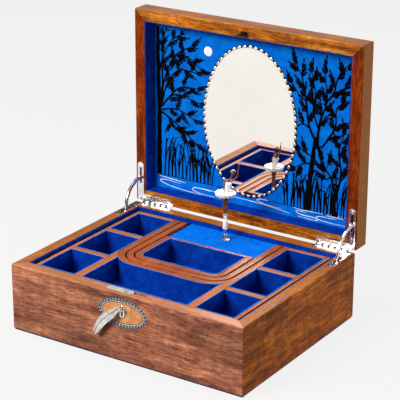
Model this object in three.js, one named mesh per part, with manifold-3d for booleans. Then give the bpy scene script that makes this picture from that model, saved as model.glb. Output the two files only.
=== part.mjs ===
// A musical jewellery box in oiled walnut, shown with its lid open.
//
// Frame: millimetres, +Z up, +X to the right, -Y towards the front with the lock.
// The origin is the centre of the underside, on the baize that the box stands on.
//
// The case and the lid are mitred frames. A lined tray with six small cells, a front
// bin and a centre bin stands in the case. Behind the centre bin a housing covers the
// musical movement and carries the dancer, whose post tilts forward as the lid closes.
// Everything on the lid is modelled closed, in a group whose origin is the hinge axis,
// and the group is then swung open by a quarter turn.
import * as THREE from 'three';
import { mergeVertices } from 'three/addons/utils/BufferGeometryUtils.js';
import { RoundedBoxGeometry } from 'three/addons/geometries/RoundedBoxGeometry.js';
import Module from 'manifold-3d';

const wasm = await Module();
wasm.setup();

// ---------------------------------------------------------------- dimensions

// outside of the box
const WIDTH = 320;
const DEPTH = 252;
const CASE_TOP = 84;
const LID_HEIGHT = 24.7;
const WALL = 14.5; // thickness of the case walls and of the lid rails
const EDGE_RADIUS = 1.6; // rounding of the outer edges
const MITRE_GAP = 0.12; // fine joint line between mitred pieces
const RIM_GAP = 0.3; // between the case and the closed lid

// bottom of the case
const BAIZE = 1.3;
const BOARD_Z0 = 1.5;
const BOARD_Z1 = 7.5;
const INNER_X = WIDTH / 2 - WALL; // inner face of a side wall
const INNER_Y = DEPTH / 2 - WALL; // inner face of the front and back walls
const LINING = 1.5; // suede on card inside the case

// hinge axis, behind the top of the back wall
const AXIS_Y = DEPTH / 2 + 1.7;
const AXIS_Z = CASE_TOP + RIM_GAP / 2;
const RIM_Z = CASE_TOP + RIM_GAP; // rim of the closed lid
const LID_TOP = RIM_Z + LID_HEIGHT;
const PANEL_Z = RIM_Z + 20.2; // inside face of the lid's top panel

// tray
const TRAY_X = 139.5;
const TRAY_Y0 = -109.5;
const TRAY_Y1 = 103.5;
const TRAY_Z0 = 48;
const TRAY_FLOOR = 51;
const TRAY_TOP = 81;
const TRAY_RAIL = 5;
const CELL_X0 = 83.3; // the cells' inner side, where the outer band starts
const CELL_X1 = TRAY_X - TRAY_RAIL;
const CELL_ROWS = [[-104.5, -44.4], [-35.8, 26.2], [34.8, 96.5]];
const BIN_X = 73; // half width of the front bin
const FIT = 0.15; // clearance between neighbouring pieces of wood

// the three bands: a straight-sided U with rounded corners about one centre
const BAND_CX = 45.2;
const BAND_CY = -6.8;
const BAND_OUTER = [38, 29.5];
const BAND_MIDDLE = [27.7, 19.2];
const BAND_INNER = [17.4, 9];
const CENTRE_BIN_BACK = 48.5;
const CENTRE_RIM_BACK = 54;

// housing of the musical movement, and the dancer on it
const DECK_TOP = 78;
const HOUSING_X = 62.4;
const HOUSING_Y0 = 54.4;
const HOUSING_Y1 = INNER_Y - LINING - 0.4;
const HOUSING_WALL = 3;
const DANCER_Y = 89;
const PIVOT_Z = 85; // where the dancer's post tilts
const FACING = 33.2; // degrees that the dancer is turned towards the right at rest
const POST_R = 2.4;

// hinges with quadrant stays, one at each rear corner
const LEAF = 1.6;
const LEAF_X0 = 104;
const LEAF_X1 = 157.5;
const LEAF_Y0 = 74;
const LEAF_W = 9;
const BARREL_R = 2.5;
const PIN_R = 1.1;
const BARREL_X0 = 106;
const BARREL_X1 = 149;
const KNUCKLES = 5;
const STAY_R = 33;
const STAY_W = 4.8;
const STAY_X = 153;
const STAY_T = 2.2;
const STAY_HEAD = 3.2;
const STAY_TURN = 64.8; // degrees that a stay turns while the lid turns by 90
const STAY_ANGLE = 10; // how far each head stands beyond its rim, in degrees
const SLOT_NEAR = 25; // the slot in each leaf's side leg, from the hinge axis
const SLOT_FAR = 46;
const SLOT_HALF = 1.5;

// lock
const LOCK_Y = -116.8; // middle of the striker and of its hole
const LOCK_X0 = -27; // the lock's top plate, square on the left and round on the right
const LOCK_X1 = 8.5;
const LOCK_PLATE_Y0 = -120;
const KEY_Z = 66;
const OVAL_A = 33.2;
const OVAL_B = 17.6;
const OVAL_Z = 61;

// mirror in the lid
const MIRROR_X = -2.7;
const MIRROR_A = 64.2;
const MIRROR_B = 94.7;

// ---------------------------------------------------------------- materials

function look(color, roughness, metalness) {
  return new THREE.MeshStandardMaterial({ color, roughness, metalness });
}
const walnut = () => look(0x8a5a33, 0.45, 0);
const walnutEdge = () => look(0xa8703f, 0.5, 0);
const plywood = () => look(0xb98d5e, 0.7, 0);
const suede = () => look(0x0a4fc4, 0.95, 0);
const chrome = () => look(0xd8dade, 0.12, 1);
const brass = () => look(0xc2a14d, 0.3, 1);
const steel = () => look(0x9a9da2, 0.35, 1);

// ---------------------------------------------------------------- helpers

function solid(geometry) {
  const g = geometry.clone();
  g.deleteAttribute('normal');
  g.deleteAttribute('uv');
  const merged = mergeVertices(g, 1e-4);
  const vertProperties = new Float32Array(merged.attributes.position.array);
  const triVerts = new Uint32Array(merged.index.array);
  return new wasm.Manifold(new wasm.Mesh({ numProp: 3, vertProperties, triVerts }));
}

function geometryOf(manifold) {
  const mesh = manifold.getMesh();
  const g = new THREE.BufferGeometry();
  g.setAttribute('position', new THREE.BufferAttribute(new Float32Array(mesh.vertProperties), 3));
  g.setIndex(new THREE.BufferAttribute(new Uint32Array(mesh.triVerts), 1));
  g.computeVertexNormals();
  return g;
}

function cut(geometry, ...tools) {
  return geometryOf(tools.reduce((body, tool) => body.subtract(solid(tool)), solid(geometry)));
}

function join(geometry, ...others) {
  return geometryOf(others.reduce((body, other) => body.add(solid(other)), solid(geometry)));
}

function common(geometry, other) {
  return geometryOf(solid(geometry).intersect(solid(other)));
}

function box(x0, x1, y0, y1, z0, z1) {
  const g = new THREE.BoxGeometry(x1 - x0, y1 - y0, z1 - z0);
  g.translate((x0 + x1) / 2, (y0 + y1) / 2, (z0 + z1) / 2);
  return g;
}

// a cylinder along z, y or x through a point
function rod(axis, radius, from, to, a, b, segments = 16) {
  const g = new THREE.CylinderGeometry(radius, radius, to - from, segments);
  const mid = (from + to) / 2;
  if (axis === 'z') {
    g.rotateX(Math.PI / 2);
    g.translate(a, b, mid);
  } else if (axis === 'y') {
    g.translate(a, mid, b);
  } else {
    g.rotateZ(Math.PI / 2);
    g.translate(mid, a, b);
  }
  return g;
}

// a shape in the x-y plane, extruded from z0 to z1
function prismZ(shape, z0, z1, curveSegments = 6) {
  const g = new THREE.ExtrudeGeometry(shape, { depth: z1 - z0, bevelEnabled: false, curveSegments });
  g.translate(0, 0, z0);
  return g;
}

// a shape in the x-z plane, extruded from y0 to y1
function prismY(shape, y0, y1, curveSegments = 8) {
  const g = new THREE.ExtrudeGeometry(shape, { depth: y1 - y0, bevelEnabled: false, curveSegments });
  g.rotateX(Math.PI / 2);
  g.translate(0, y1, 0);
  return g;
}

// a shape in the y-z plane, extruded from x0 to x1
function prismX(shape, x0, x1, curveSegments = 10) {
  const g = new THREE.ExtrudeGeometry(shape, { depth: x1 - x0, bevelEnabled: false, curveSegments });
  const turn = new THREE.Matrix4().makeBasis(
    new THREE.Vector3(0, 1, 0), new THREE.Vector3(0, 0, 1), new THREE.Vector3(1, 0, 0));
  g.applyMatrix4(turn);
  g.translate(x0, 0, 0);
  return g;
}

function polygon(points) {
  return new THREE.Shape(points.map(([x, y]) => new THREE.Vector2(x, y)));
}

function ellipse(cx, cy, a, b) {
  const shape = new THREE.Shape();
  shape.absellipse(cx, cy, a, b, 0, Math.PI * 2, false, 0);
  return shape;
}

function mirrorX(geometry) {
  return geometryOf(solid(geometry).mirror([1, 0, 0]));
}

const root = new THREE.Group();

function group(name, x = 0, y = 0, z = 0, parent = root) {
  const g = new THREE.Group();
  g.name = name;
  g.position.set(x, y, z);
  parent.add(g);
  return g;
}

function add(parent, name, geometry, material, x = 0, y = 0, z = 0) {
  const mesh = new THREE.Mesh(geometry, material);
  mesh.name = name;
  mesh.position.set(x, y, z);
  parent.add(mesh);
  return mesh;
}

// one piece of a mitred frame: side is 'front', 'back', 'left' or 'right'
function mitred(side, z0, z1) {
  const w = WIDTH / 2;
  const d = DEPTH / 2;
  const g = MITRE_GAP / 2;
  const far = { front: -d, back: d, left: -w, right: w }[side];
  const near = far - Math.sign(far) * WALL;
  const along = side === 'front' || side === 'back' ? w : d;
  const corners = [[-along + g, far], [along - g, far], [along - WALL - g, near], [-along + WALL + g, near]];
  const plan = side === 'front' || side === 'back' ? corners : corners.map(([a, b]) => [b, a]);
  const envelope = new RoundedBoxGeometry(WIDTH, DEPTH, z1 - z0, 3, EDGE_RADIUS);
  envelope.translate(0, 0, (z0 + z1) / 2);
  return common(prismZ(polygon(plan), z0, z1), envelope);
}

// plan of an L-shaped hinge leaf at the rear right corner, grown all round by g
function leafPlan(g) {
  const r = LEAF_W / 2 + g;
  const inner = LEAF_X1 - LEAF_W;
  const rear = DEPTH / 2;
  const shape = new THREE.Shape();
  shape.moveTo(LEAF_X1 + g, rear + g);
  shape.lineTo(LEAF_X0 + LEAF_W / 2, rear + g);
  shape.absarc(LEAF_X0 + LEAF_W / 2, rear - LEAF_W / 2, r, Math.PI / 2, Math.PI * 1.5, false);
  shape.lineTo(inner - g, rear - LEAF_W - g);
  shape.lineTo(inner - g, LEAF_Y0 + LEAF_W / 2);
  shape.absarc(LEAF_X1 - LEAF_W / 2, LEAF_Y0 + LEAF_W / 2, r, Math.PI, Math.PI * 2, false);
  shape.closePath();
  return shape;
}

// sector of a ring about the hinge axis, in the y-z plane; angles in degrees from the
// direction straight forward, positive upward
function ringSector(r0, r1, from, to, steps = 9) {
  const points = [];
  const at = (r, degrees) => {
    const t = THREE.MathUtils.degToRad(degrees);
    return [AXIS_Y - r * Math.cos(t), AXIS_Z + r * Math.sin(t)];
  };
  for (let i = 0; i <= steps; i++) points.push(at(r1, from + (to - from) * i / steps));
  for (let i = steps; i >= 0; i--) points.push(at(r0, from + (to - from) * i / steps));
  return polygon(points);
}

function ringPoint(degrees) {
  const t = THREE.MathUtils.degToRad(degrees);
  return [AXIS_Y - STAY_R * Math.cos(t), AXIS_Z + STAY_R * Math.sin(t)];
}

// ---------------------------------------------------------------- hinge hardware

// room in the wood for the leaf, the barrel and the stay at the right-hand corner
const HEAD_ROOM = STAY_HEAD + 0.5;
const coveRight = rod('x', BARREL_R + 0.5, LEAF_X0 - 0.5, BARREL_X1 + 1.5, AXIS_Y, AXIS_Z, 12);
const leafSeatCase = prismZ(leafPlan(0.15), CASE_TOP - LEAF - 0.15, CASE_TOP + 1);
const leafSeatLid = prismZ(leafPlan(0.15), RIM_Z - 1, RIM_Z + LEAF + 0.15);
const stayPocket = (from, to, headAt) => join(
  prismX(ringSector(STAY_R - HEAD_ROOM, STAY_R + HEAD_ROOM, from, to), STAY_X - 1.6, STAY_X + 1.6),
  rod('x', HEAD_ROOM, STAY_X - 1.6, STAY_X + 1.6, ...ringPoint(headAt)));
const caseHead = -STAY_ANGLE - STAY_TURN;
const lidHead = STAY_ANGLE + 90 - STAY_TURN;
const pocketCase = stayPocket(caseHead, 4, caseHead);
const pocketLid = stayPocket(-4, lidHead, lidHead);
const slotBed = (z0, z1) => box(
  STAY_X - SLOT_HALF, STAY_X + SLOT_HALF, AXIS_Y - SLOT_FAR, AXIS_Y - SLOT_NEAR, z0, z1);
const cutsCase = [coveRight, leafSeatCase, pocketCase, slotBed(CASE_TOP - LEAF - 3, CASE_TOP)];
const cutsLid = [coveRight, leafSeatLid, pocketLid, slotBed(RIM_Z, RIM_Z + LEAF + 3)];
const bothSides = (tools) => [...tools, ...tools.map((tool) => mirrorX(tool))];

// one leaf with its knuckles; lower is the case's leaf, upper the lid's
function hingeLeaf(lower) {
  const z0 = lower ? CASE_TOP - LEAF : RIM_Z;
  const z1 = z0 + LEAF;
  const step = (BARREL_X1 - BARREL_X0) / KNUCKLES;
  const first = lower ? 0 : 1;
  let body = solid(prismZ(leafPlan(0), z0, z1));
  body = body.subtract(solid(rod('x', BARREL_R + 0.3, LEAF_X0 - 1, LEAF_X1 + 1, AXIS_Y, AXIS_Z, 14)));
  for (let i = first; i < KNUCKLES; i += 2) {
    const x0 = BARREL_X0 + i * step + 0.12;
    const x1 = BARREL_X0 + (i + 1) * step - 0.12;
    body = body.add(solid(box(x0, x1, DEPTH / 2 - 4, AXIS_Y, z0, z1)));
    body = body.add(solid(rod('x', BARREL_R, x0, x1, AXIS_Y, AXIS_Z, 14)));
  }
  body = body.subtract(solid(rod('x', PIN_R + 0.1, LEAF_X0, LEAF_X1, AXIS_Y, AXIS_Z, 10)));
  body = body.subtract(solid(slotBed(z0 - 1, z1 + 1)));
  for (const [x, y] of [[109.5, 121.5], [146, 121.5], [153, 113.5], [153, 78.5]]) {
    const sink = new THREE.CylinderGeometry(lower ? 2 : 0.9, lower ? 0.9 : 2, LEAF + 0.02, 8);
    sink.rotateX(Math.PI / 2);
    sink.translate(x, y, (z0 + z1) / 2);
    body = body.subtract(solid(sink));
  }
  return geometryOf(body);
}

// ---------------------------------------------------------------- case

const caseGroup = group('case');

const WINDING = { x: 16, y: 80, hole: 18 };
const cornerPlan = (inset) => {
  const w = WIDTH / 2 - inset;
  const d = DEPTH / 2 - inset;
  return polygon([[-w, -d], [w, -d], [w, d], [-w, d]]);
};
add(caseGroup, 'base_baize', cut(prismZ(cornerPlan(1.5), 0, BAIZE),
  rod('z', WINDING.hole, -1, BAIZE + 1, WINDING.x, WINDING.y, 36)), look(0x14284f, 1, 0));
add(caseGroup, 'base_board', cut(
  box(-INNER_X + FIT, INNER_X - FIT, -INNER_Y + FIT, INNER_Y - FIT, BOARD_Z0, BOARD_Z1),
  rod('z', WINDING.hole, 0, BOARD_Z1 + 1, WINDING.x, WINDING.y, 36)), plywood());

const keyhole = (grow) => join(
  rod('y', 2.4 + grow, -140, -118, 0, KEY_Z),
  box(-1.2 - grow, 1.2 + grow, -140, -118, KEY_Z - 8.6 - grow, KEY_Z));

// plan of the lock's top plate, grown all round by g
function lockPlan(g) {
  const r = (-INNER_Y - LOCK_PLATE_Y0) / 2;
  const middle = LOCK_PLATE_Y0 + r;
  const shape = new THREE.Shape();
  shape.moveTo(LOCK_X0 - g, middle + r + g);
  shape.lineTo(LOCK_X0 - g, middle - r - g);
  shape.lineTo(LOCK_X1 - r, middle - r - g);
  shape.absarc(LOCK_X1 - r, middle, r + g, -Math.PI / 2, Math.PI / 2, false);
  shape.closePath();
  return shape;
}
const frontCuts = [
  prismZ(lockPlan(0.15), CASE_TOP - LEAF - 0.15, 90),
  box(-24.5, 7.8, -120.6, -100, 49.8, 90),
  box(6, 24, -118.6, -112.8, CASE_TOP - 2, 90),
  box(21.5, 27.5, -118.2, -113.2, CASE_TOP - 8, 90),
  prismY(ellipse(0, OVAL_Z, OVAL_A + 0.15, OVAL_B + 0.15), -127, -DEPTH / 2 + 1.2, 16),
  keyhole(0),
];
const W0 = BOARD_Z0;
add(caseGroup, 'wall_front', cut(mitred('front', W0, CASE_TOP), ...frontCuts), walnut());
add(caseGroup, 'wall_back', cut(mitred('back', W0, CASE_TOP), ...bothSides(cutsCase)), walnut());
add(caseGroup, 'wall_left', cut(mitred('left', W0, CASE_TOP), ...cutsCase.map(mirrorX)), walnut());
add(caseGroup, 'wall_right', cut(mitred('right', W0, CASE_TOP), ...cutsCase), walnut());

const liningX = INNER_X - FIT;
const liningY = INNER_Y - FIT;
add(caseGroup, 'case_lining', cut(
  box(-liningX, liningX, -liningY, liningY, BOARD_Z1 + 0.2, CASE_TOP - 0.8),
  box(-liningX + LINING, liningX - LINING, -liningY + LINING, liningY - LINING, 0, 90)), suede());
for (const [name, side] of [['tray_ledge_left', -1], ['tray_ledge_right', 1]]) {
  const ledge = new THREE.BoxGeometry(9, 190, 8);
  add(caseGroup, name, ledge, plywood(), side * 139, -5, 43.8);
}

// ---------------------------------------------------------------- tray

const tray = group('tray');

// slab with the outline of a band: straight arms to y1, corners of radius r in front
function bandSlab(r, y1, z0, z1) {
  const shape = new THREE.Shape();
  shape.moveTo(BAND_CX + r, y1);
  shape.lineTo(-BAND_CX - r, y1);
  shape.lineTo(-BAND_CX - r, BAND_CY);
  shape.absarc(-BAND_CX, BAND_CY, r, Math.PI, Math.PI * 1.5, false);
  shape.lineTo(BAND_CX, BAND_CY - r);
  shape.absarc(BAND_CX, BAND_CY, r, Math.PI * 1.5, Math.PI * 2, false);
  shape.closePath();
  return prismZ(shape, z0, z1, 9);
}

const movementBay = box(-HOUSING_X - 1, HOUSING_X + 1, HOUSING_Y0 - 1, 140, 0, 90);
const bandZ0 = TRAY_FLOOR + FIT;
add(tray, 'tray_base', cut(
  box(-TRAY_X, TRAY_X, TRAY_Y0, TRAY_Y1, TRAY_Z0, TRAY_FLOOR), movementBay), plywood());
add(tray, 'band_outer', cut(bandSlab(BAND_OUTER[0], TRAY_Y1, bandZ0, TRAY_TOP),
  bandSlab(BAND_OUTER[1], TRAY_Y1 + 5, 0, 90)), walnutEdge());
add(tray, 'band_middle', cut(bandSlab(BAND_MIDDLE[0], TRAY_Y1, bandZ0, TRAY_TOP),
  bandSlab(BAND_MIDDLE[1], TRAY_Y1 + 5, 0, 90), movementBay), walnutEdge());
add(tray, 'band_inner', cut(bandSlab(BAND_INNER[0], CENTRE_RIM_BACK - 0.8, bandZ0, TRAY_TOP),
  bandSlab(BAND_INNER[1], CENTRE_BIN_BACK, 0, 90)), walnutEdge());

for (const [tag, side] of [['left', -1], ['right', 1]]) {
  const rail = new THREE.BoxGeometry(TRAY_RAIL, TRAY_Y1 - TRAY_Y0, TRAY_TOP - bandZ0);
  add(tray, `tray_wall_${tag}`, rail, walnutEdge(),
    side * (TRAY_X - TRAY_RAIL / 2), (TRAY_Y0 + TRAY_Y1) / 2, (TRAY_TOP + bandZ0) / 2);
  const cellWidth = CELL_X1 - CELL_X0 - 2 * FIT;
  const cellX = side * (CELL_X0 + CELL_X1) / 2;
  const cross = (name, y0, y1) => add(tray, name,
    new THREE.BoxGeometry(cellWidth, y1 - y0, TRAY_TOP - bandZ0), walnutEdge(),
    cellX, (y0 + y1) / 2, (TRAY_TOP + bandZ0) / 2);
  cross(`tray_wall_rear_${tag}`, CELL_ROWS[2][1], TRAY_Y1);
  cross(`tray_divider_rear_${tag}`, CELL_ROWS[1][1], CELL_ROWS[2][0]);
  cross(`tray_divider_front_${tag}`, CELL_ROWS[0][1], CELL_ROWS[1][0]);
  const x0 = Math.min(side * BIN_X, side * (CELL_X0 - FIT));
  const x1 = Math.max(side * BIN_X, side * (CELL_X0 - FIT));
  add(tray, `tray_partition_${tag}`, cut(
    box(x0, x1, CELL_ROWS[0][0] + FIT, BAND_CY - 8, bandZ0, TRAY_TOP),
    bandSlab(BAND_OUTER[0] + FIT, 90, 0, 90)), walnutEdge());
}
add(tray, 'tray_wall_front',
  new THREE.BoxGeometry(2 * (CELL_X1 - FIT), TRAY_RAIL, TRAY_TOP - bandZ0), walnutEdge(),
  0, TRAY_Y0 + TRAY_RAIL / 2, (TRAY_TOP + bandZ0) / 2);

// ---------------------------------------------------------------- musical movement

const movement = group('movement');
const deckHole = rod('z', 2, 0, 90, 0, DANCER_Y);
add(movement, 'music_housing', cut(
  box(-HOUSING_X, HOUSING_X, HOUSING_Y0, HOUSING_Y1, BOARD_Z1 + 0.3, DECK_TOP),
  box(-HOUSING_X + HOUSING_WALL, HOUSING_X - HOUSING_WALL, HOUSING_Y0 + HOUSING_WALL, 140, 0, DECK_TOP - 3.5),
  deckHole), suede());

const CYL = { y: 96, z: 19, r: 6.5, x0: -36, x1: -10 };
const GEAR = { r: 8, x0: -9, x1: -7 };
const WHEEL = { r: 11.6, z0: CYL.z + GEAR.r + 0.3 };
const bed = join(
  box(-41, 36, 62, 106, BOARD_Z1 + 0.3, BOARD_Z1 + 1.9),
  box(-39.5, -37.5, 90, 102, BOARD_Z1 + 1, CYL.z + 4),
  box(-5.9, -4.1, 92.5, 102, BOARD_Z1 + 1, CYL.z + 4));
add(movement, 'movement_bed', cut(bed,
  rod('x', 1.35, -42, 2, CYL.y, CYL.z),
  rod('z', 1.7, 0, 12, WINDING.x, WINDING.y),
  rod('z', 1.35, 0, 12, 0, DANCER_Y)), steel());
add(movement, 'movement_barrel', rod('z', 13, BOARD_Z1 + 2.2, 22, WINDING.x, WINDING.y, 32), brass());
const TEETH = 14;
const toothPitch = (CYL.x1 - CYL.x0) / TEETH;
const comb = box(CYL.x0, CYL.x1, 66, 89, 18.2, 19.4);
const slots = [];
for (let i = 1; i < TEETH; i++) {
  const x = CYL.x0 + i * toothPitch;
  slots.push(box(x - 0.2, x + 0.2, 74, 95, 15, 22));
}
const combFoot = box(CYL.x0, CYL.x1, 66, 72, BOARD_Z1 + 2.2, 18.5);
add(movement, 'movement_comb', join(cut(comb, ...slots), combFoot), steel());

const cylinderGroup = group('cylinder', 0, CYL.y, CYL.z, movement);
add(cylinderGroup, 'movement_cylinder', join(
  rod('x', CYL.r, CYL.x0, CYL.x1, 0, 0, 32),
  rod('x', GEAR.r, GEAR.x0, GEAR.x1, 0, 0, 32),
  rod('x', 1.25, -41, -3.5, 0, 0, 16)), brass());

const spindleGroup = group('spindle', 0, DANCER_Y, 0, movement);
add(spindleGroup, 'drive_spindle', join(
  rod('z', 1.25, BOARD_Z1 + 1, 81.2, 0, 0, 20),
  rod('z', WHEEL.r, WHEEL.z0, WHEEL.z0 + 1.6, 0, 0, 32)), steel());

const keyGroup = group('winding', WINDING.x, WINDING.y, 0, movement);
add(keyGroup, 'winding_key', join(
  rod('z', 1.6, 2, BOARD_Z1 + 2, 0, 0, 20),
  rod('z', 3, 2.2, 6.4, 0, 0, 20),
  box(-10.5, 10.5, -0.9, 0.9, 1.9, 6.6)), brass());

// ---------------------------------------------------------------- dancer

const flange = new THREE.Shape();
for (let i = 0; i <= 48; i++) {
  const t = (i / 48) * Math.PI * 2;
  const r = 5.9 + 0.3 * Math.cos(12 * t);
  if (i === 0) flange.moveTo(r, 0);
  else if (i < 48) flange.lineTo(r * Math.cos(t), r * Math.sin(t));
}
flange.closePath();
const stand = group('stand', 0, DANCER_Y, DECK_TOP);
const socket = rod('z', POST_R, 1, PIVOT_Z - DECK_TOP - POST_R - 0.3, 0, 0);
add(stand, 'deck_flange', cut(join(prismZ(flange, 0.1, 1.3), socket),
  rod('z', 1.4, -1, 10, 0, 0, 20)), chrome());

const dancer = group('dancer', 0, DANCER_Y, PIVOT_Z);
const ball = new THREE.SphereGeometry(POST_R, 16, 8);
add(dancer, 'tilt_post', join(ball, rod('z', POST_R, 0, 6.9, 0, 0, 16)), chrome());
const sleeveProfile = [[0, 7.2], [3, 7.2], [3.4, 7.6], [3.4, 18], [3, 18.4], [0, 18.4]];
const sleeve = new THREE.LatheGeometry(sleeveProfile.map(([r, z]) => new THREE.Vector2(r, z)), 16);
sleeve.rotateX(Math.PI / 2);
add(dancer, 'dancer_sleeve', sleeve, look(0xf2f2f0, 0.4, 0));

// a round limb between two points, with its own radius at each end
function limb(a, b, ra, rb, segments = 8) {
  const p = new THREE.Vector3(...a);
  const q = new THREE.Vector3(...b);
  const length = p.distanceTo(q);
  const g = new THREE.CylinderGeometry(rb, ra, length, segments);
  g.translate(0, length / 2, 0);
  g.applyQuaternion(new THREE.Quaternion().setFromUnitVectors(
    new THREE.Vector3(0, 1, 0), q.clone().sub(p).normalize()));
  g.translate(p.x, p.y, p.z);
  return g;
}
function knob(x, y, z, r, sx = 1, sy = 1, sz = 1) {
  const g = new THREE.SphereGeometry(r, 8, 6);
  g.scale(sx, sy, sz);
  g.translate(x, y, z);
  return g;
}

// the figure stands on both points; heights are above the pivot
const TUTU_Z = 53.8;
const TUTU_R = 13.1;
const legs = [];
for (const side of [-1, 1]) {
  legs.push(limb([side * 0.9, 0, 18.7], [side * 1.1, 0, 26.2], 0.9, 1.05));
  legs.push(limb([side * 1.1, 0, 26.2], [side * 1.7, 0, 35.2], 1.05, 1.5));
  legs.push(limb([side * 1.7, 0, 35.2], [side * 2, 0, 42.2], 1.5, 1.75));
  legs.push(limb([side * 2, 0, 42.2], [side * 2.5, 0, 52.2], 1.75, 2.2));
}
const upper = [
  knob(0.3, 0, 52.2, 4.7, 1, 0.8, 0.6),
  limb([0.5, 0, 51.2], [1.3, 0, 56.2], 4, 3.1, 12),
  limb([1.3, 0, 56.2], [3.7, 0, 68.7], 3, 3.9, 12),
  knob(3.9, 0, 69.4, 4.4, 1.05, 0.6, 0.5),
  limb([4.6, 0, 69.2], [8.3, 0, 78], 1.5, 1.3),
  knob(8.9, 0, 78.8, 3.4, 0.95, 1, 1.15),
  limb([6.8, 0, 69.6], [14.2, -1, 75.2], 1.4, 1.1),
  knob(14.2, -1, 75.2, 1.15),
  limb([14.2, -1, 75.2], [15.8, -1, 89], 1.05, 0.75),
  knob(15.9, -1, 89.8, 1.2, 0.9, 0.6, 2.1),
  limb([1, 0, 69.8], [-3.2, -2, 64.2], 1.4, 1.1),
  knob(-3.2, -2, 64.2, 1.15),
  limb([-3.2, -2, 64.2], [-0.7, -5.4, 56.6], 1.05, 0.8),
];
const figure = join(...legs, ...upper);
figure.rotateZ(THREE.MathUtils.degToRad(FACING));
add(dancer, 'dancer_figure', figure, look(0x7a4a32, 0.5, 0));
const skirtProfile = [[5.4, -0.7], [12.6, -1.7], [TUTU_R, -1.2], [12.6, -0.5], [5.4, 0.9], [5.4, -0.7]];
const skirt = new THREE.LatheGeometry(skirtProfile.map(([r, z]) => new THREE.Vector2(r, TUTU_Z + z)), 24);
skirt.rotateX(Math.PI / 2);
add(dancer, 'tutu', skirt, look(0xf6f6f6, 0.9, 0));

// ---------------------------------------------------------------- lid

const lid = group('lid', 0, AXIS_Y, AXIS_Z);
lid.rotation.x = -Math.PI / 2; // open
function addToLid(name, geometry, material) {
  geometry.translate(0, -AXIS_Y, -AXIS_Z);
  return add(lid, name, geometry, material);
}
const strikerSeat = box(-5.2, 5.2, LOCK_Y - 2.2, LOCK_Y + 4.2, RIM_Z - 1, RIM_Z + 1.4);
addToLid('lid_rail_front', cut(mitred('front', RIM_Z, LID_TOP), strikerSeat), walnut());
addToLid('lid_rail_back', cut(mitred('back', RIM_Z, LID_TOP), ...bothSides(cutsLid)), walnut());
addToLid('lid_rail_left', cut(mitred('left', RIM_Z, LID_TOP), ...cutsLid.map(mirrorX)), walnut());
addToLid('lid_rail_right', cut(mitred('right', RIM_Z, LID_TOP), ...cutsLid), walnut());
addToLid('lid_panel', box(-liningX, liningX, -liningY, liningY, PANEL_Z, LID_TOP), walnut());
addToLid('lid_lining', cut(
  box(-liningX, liningX, -liningY, liningY, RIM_Z + 0.6, PANEL_Z - 0.15),
  box(-liningX + 1.2, liningX - 1.2, -liningY + 1.2, liningY - 1.2, 0, 200)), suede());
const SCENE_Z = PANEL_Z - 1.3; // face of the lined card that the glass is let into
const GLASS_Z = PANEL_Z - 1.85; // face of the glass
const BEZEL_Z = GLASS_Z - 0.6; // face of the ring round it
const mirrorOval = (grow, z0, z1) => prismZ(
  ellipse(MIRROR_X, 0, MIRROR_A + grow, MIRROR_B + grow), z0, z1, 24);
addToLid('scene_panel', cut(
  box(-liningX + 1.4, liningX - 1.4, -liningY + 1.4, liningY - 1.4, SCENE_Z, PANEL_Z - 0.15),
  mirrorOval(0.3, 0, 200)), suede());
addToLid('mirror_glass', mirrorOval(0, GLASS_Z, PANEL_Z - 0.15), look(0xe8eef0, 0.03, 1));
addToLid('mirror_bezel', cut(mirrorOval(3, BEZEL_Z, SCENE_Z - 0.15),
  mirrorOval(0.3, GLASS_Z - 0.15, 200), mirrorOval(-0.9, 0, 200)), chrome());
const strikerPost = box(-3, 3, LOCK_Y - 0.8, LOCK_Y + 0.8, RIM_Z - 9, RIM_Z + 0.5);
addToLid('lock_striker', cut(
  join(box(-5, 5, LOCK_Y - 2, LOCK_Y + 4, RIM_Z, RIM_Z + 1.25), strikerPost),
  box(-1.3, 5, LOCK_Y - 2, LOCK_Y + 2, RIM_Z - 7.4, RIM_Z - 4)), chrome());

// ---------------------------------------------------------------- hinges and stays

const hinges = group('hinges');
const caseLeaf = hingeLeaf(true);
const lidLeaf = hingeLeaf(false);
const pin = rod('x', PIN_R, BARREL_X0, BARREL_X1, AXIS_Y, AXIS_Z, 10);
const [openCase, openLid] = [ringPoint(-STAY_ANGLE), ringPoint(90 + STAY_ANGLE)];
const stay = join(
  prismX(ringSector(STAY_R - STAY_W / 2, STAY_R + STAY_W / 2, -STAY_ANGLE, 90 + STAY_ANGLE, 14),
    STAY_X - STAY_T / 2, STAY_X + STAY_T / 2),
  rod('x', STAY_HEAD, STAY_X - STAY_T / 2, STAY_X + STAY_T / 2, ...openCase),
  rod('x', STAY_HEAD, STAY_X - STAY_T / 2, STAY_X + STAY_T / 2, ...openLid));
add(hinges, 'hinge_leaf_case_right', caseLeaf, chrome());
add(hinges, 'hinge_leaf_case_left', mirrorX(caseLeaf), chrome());
addToLid('hinge_leaf_lid_right', lidLeaf.clone(), chrome());
addToLid('hinge_leaf_lid_left', mirrorX(lidLeaf), chrome());
add(hinges, 'hinge_pin_right', pin, steel());
add(hinges, 'hinge_pin_left', mirrorX(pin), steel());
add(hinges, 'stay_right', stay, chrome());
add(hinges, 'stay_left', mirrorX(stay), chrome());

// ---------------------------------------------------------------- lock and key

const lock = group('lock');
const lockCase = cut(
  join(prismZ(lockPlan(0), CASE_TOP - LEAF, CASE_TOP),
    box(-24, 7.3, -120.2, -112, 50.2, CASE_TOP - 1)),
  box(-22.5, 6.8, -118.9, -113.5, 52, CASE_TOP - 2.6),
  prismZ(ellipse(0, LOCK_Y, 3.7, 2.4), CASE_TOP - 5, CASE_TOP + 2, 5),
  keyhole(0.2));
add(lock, 'lock_case', lockCase, chrome());

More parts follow.
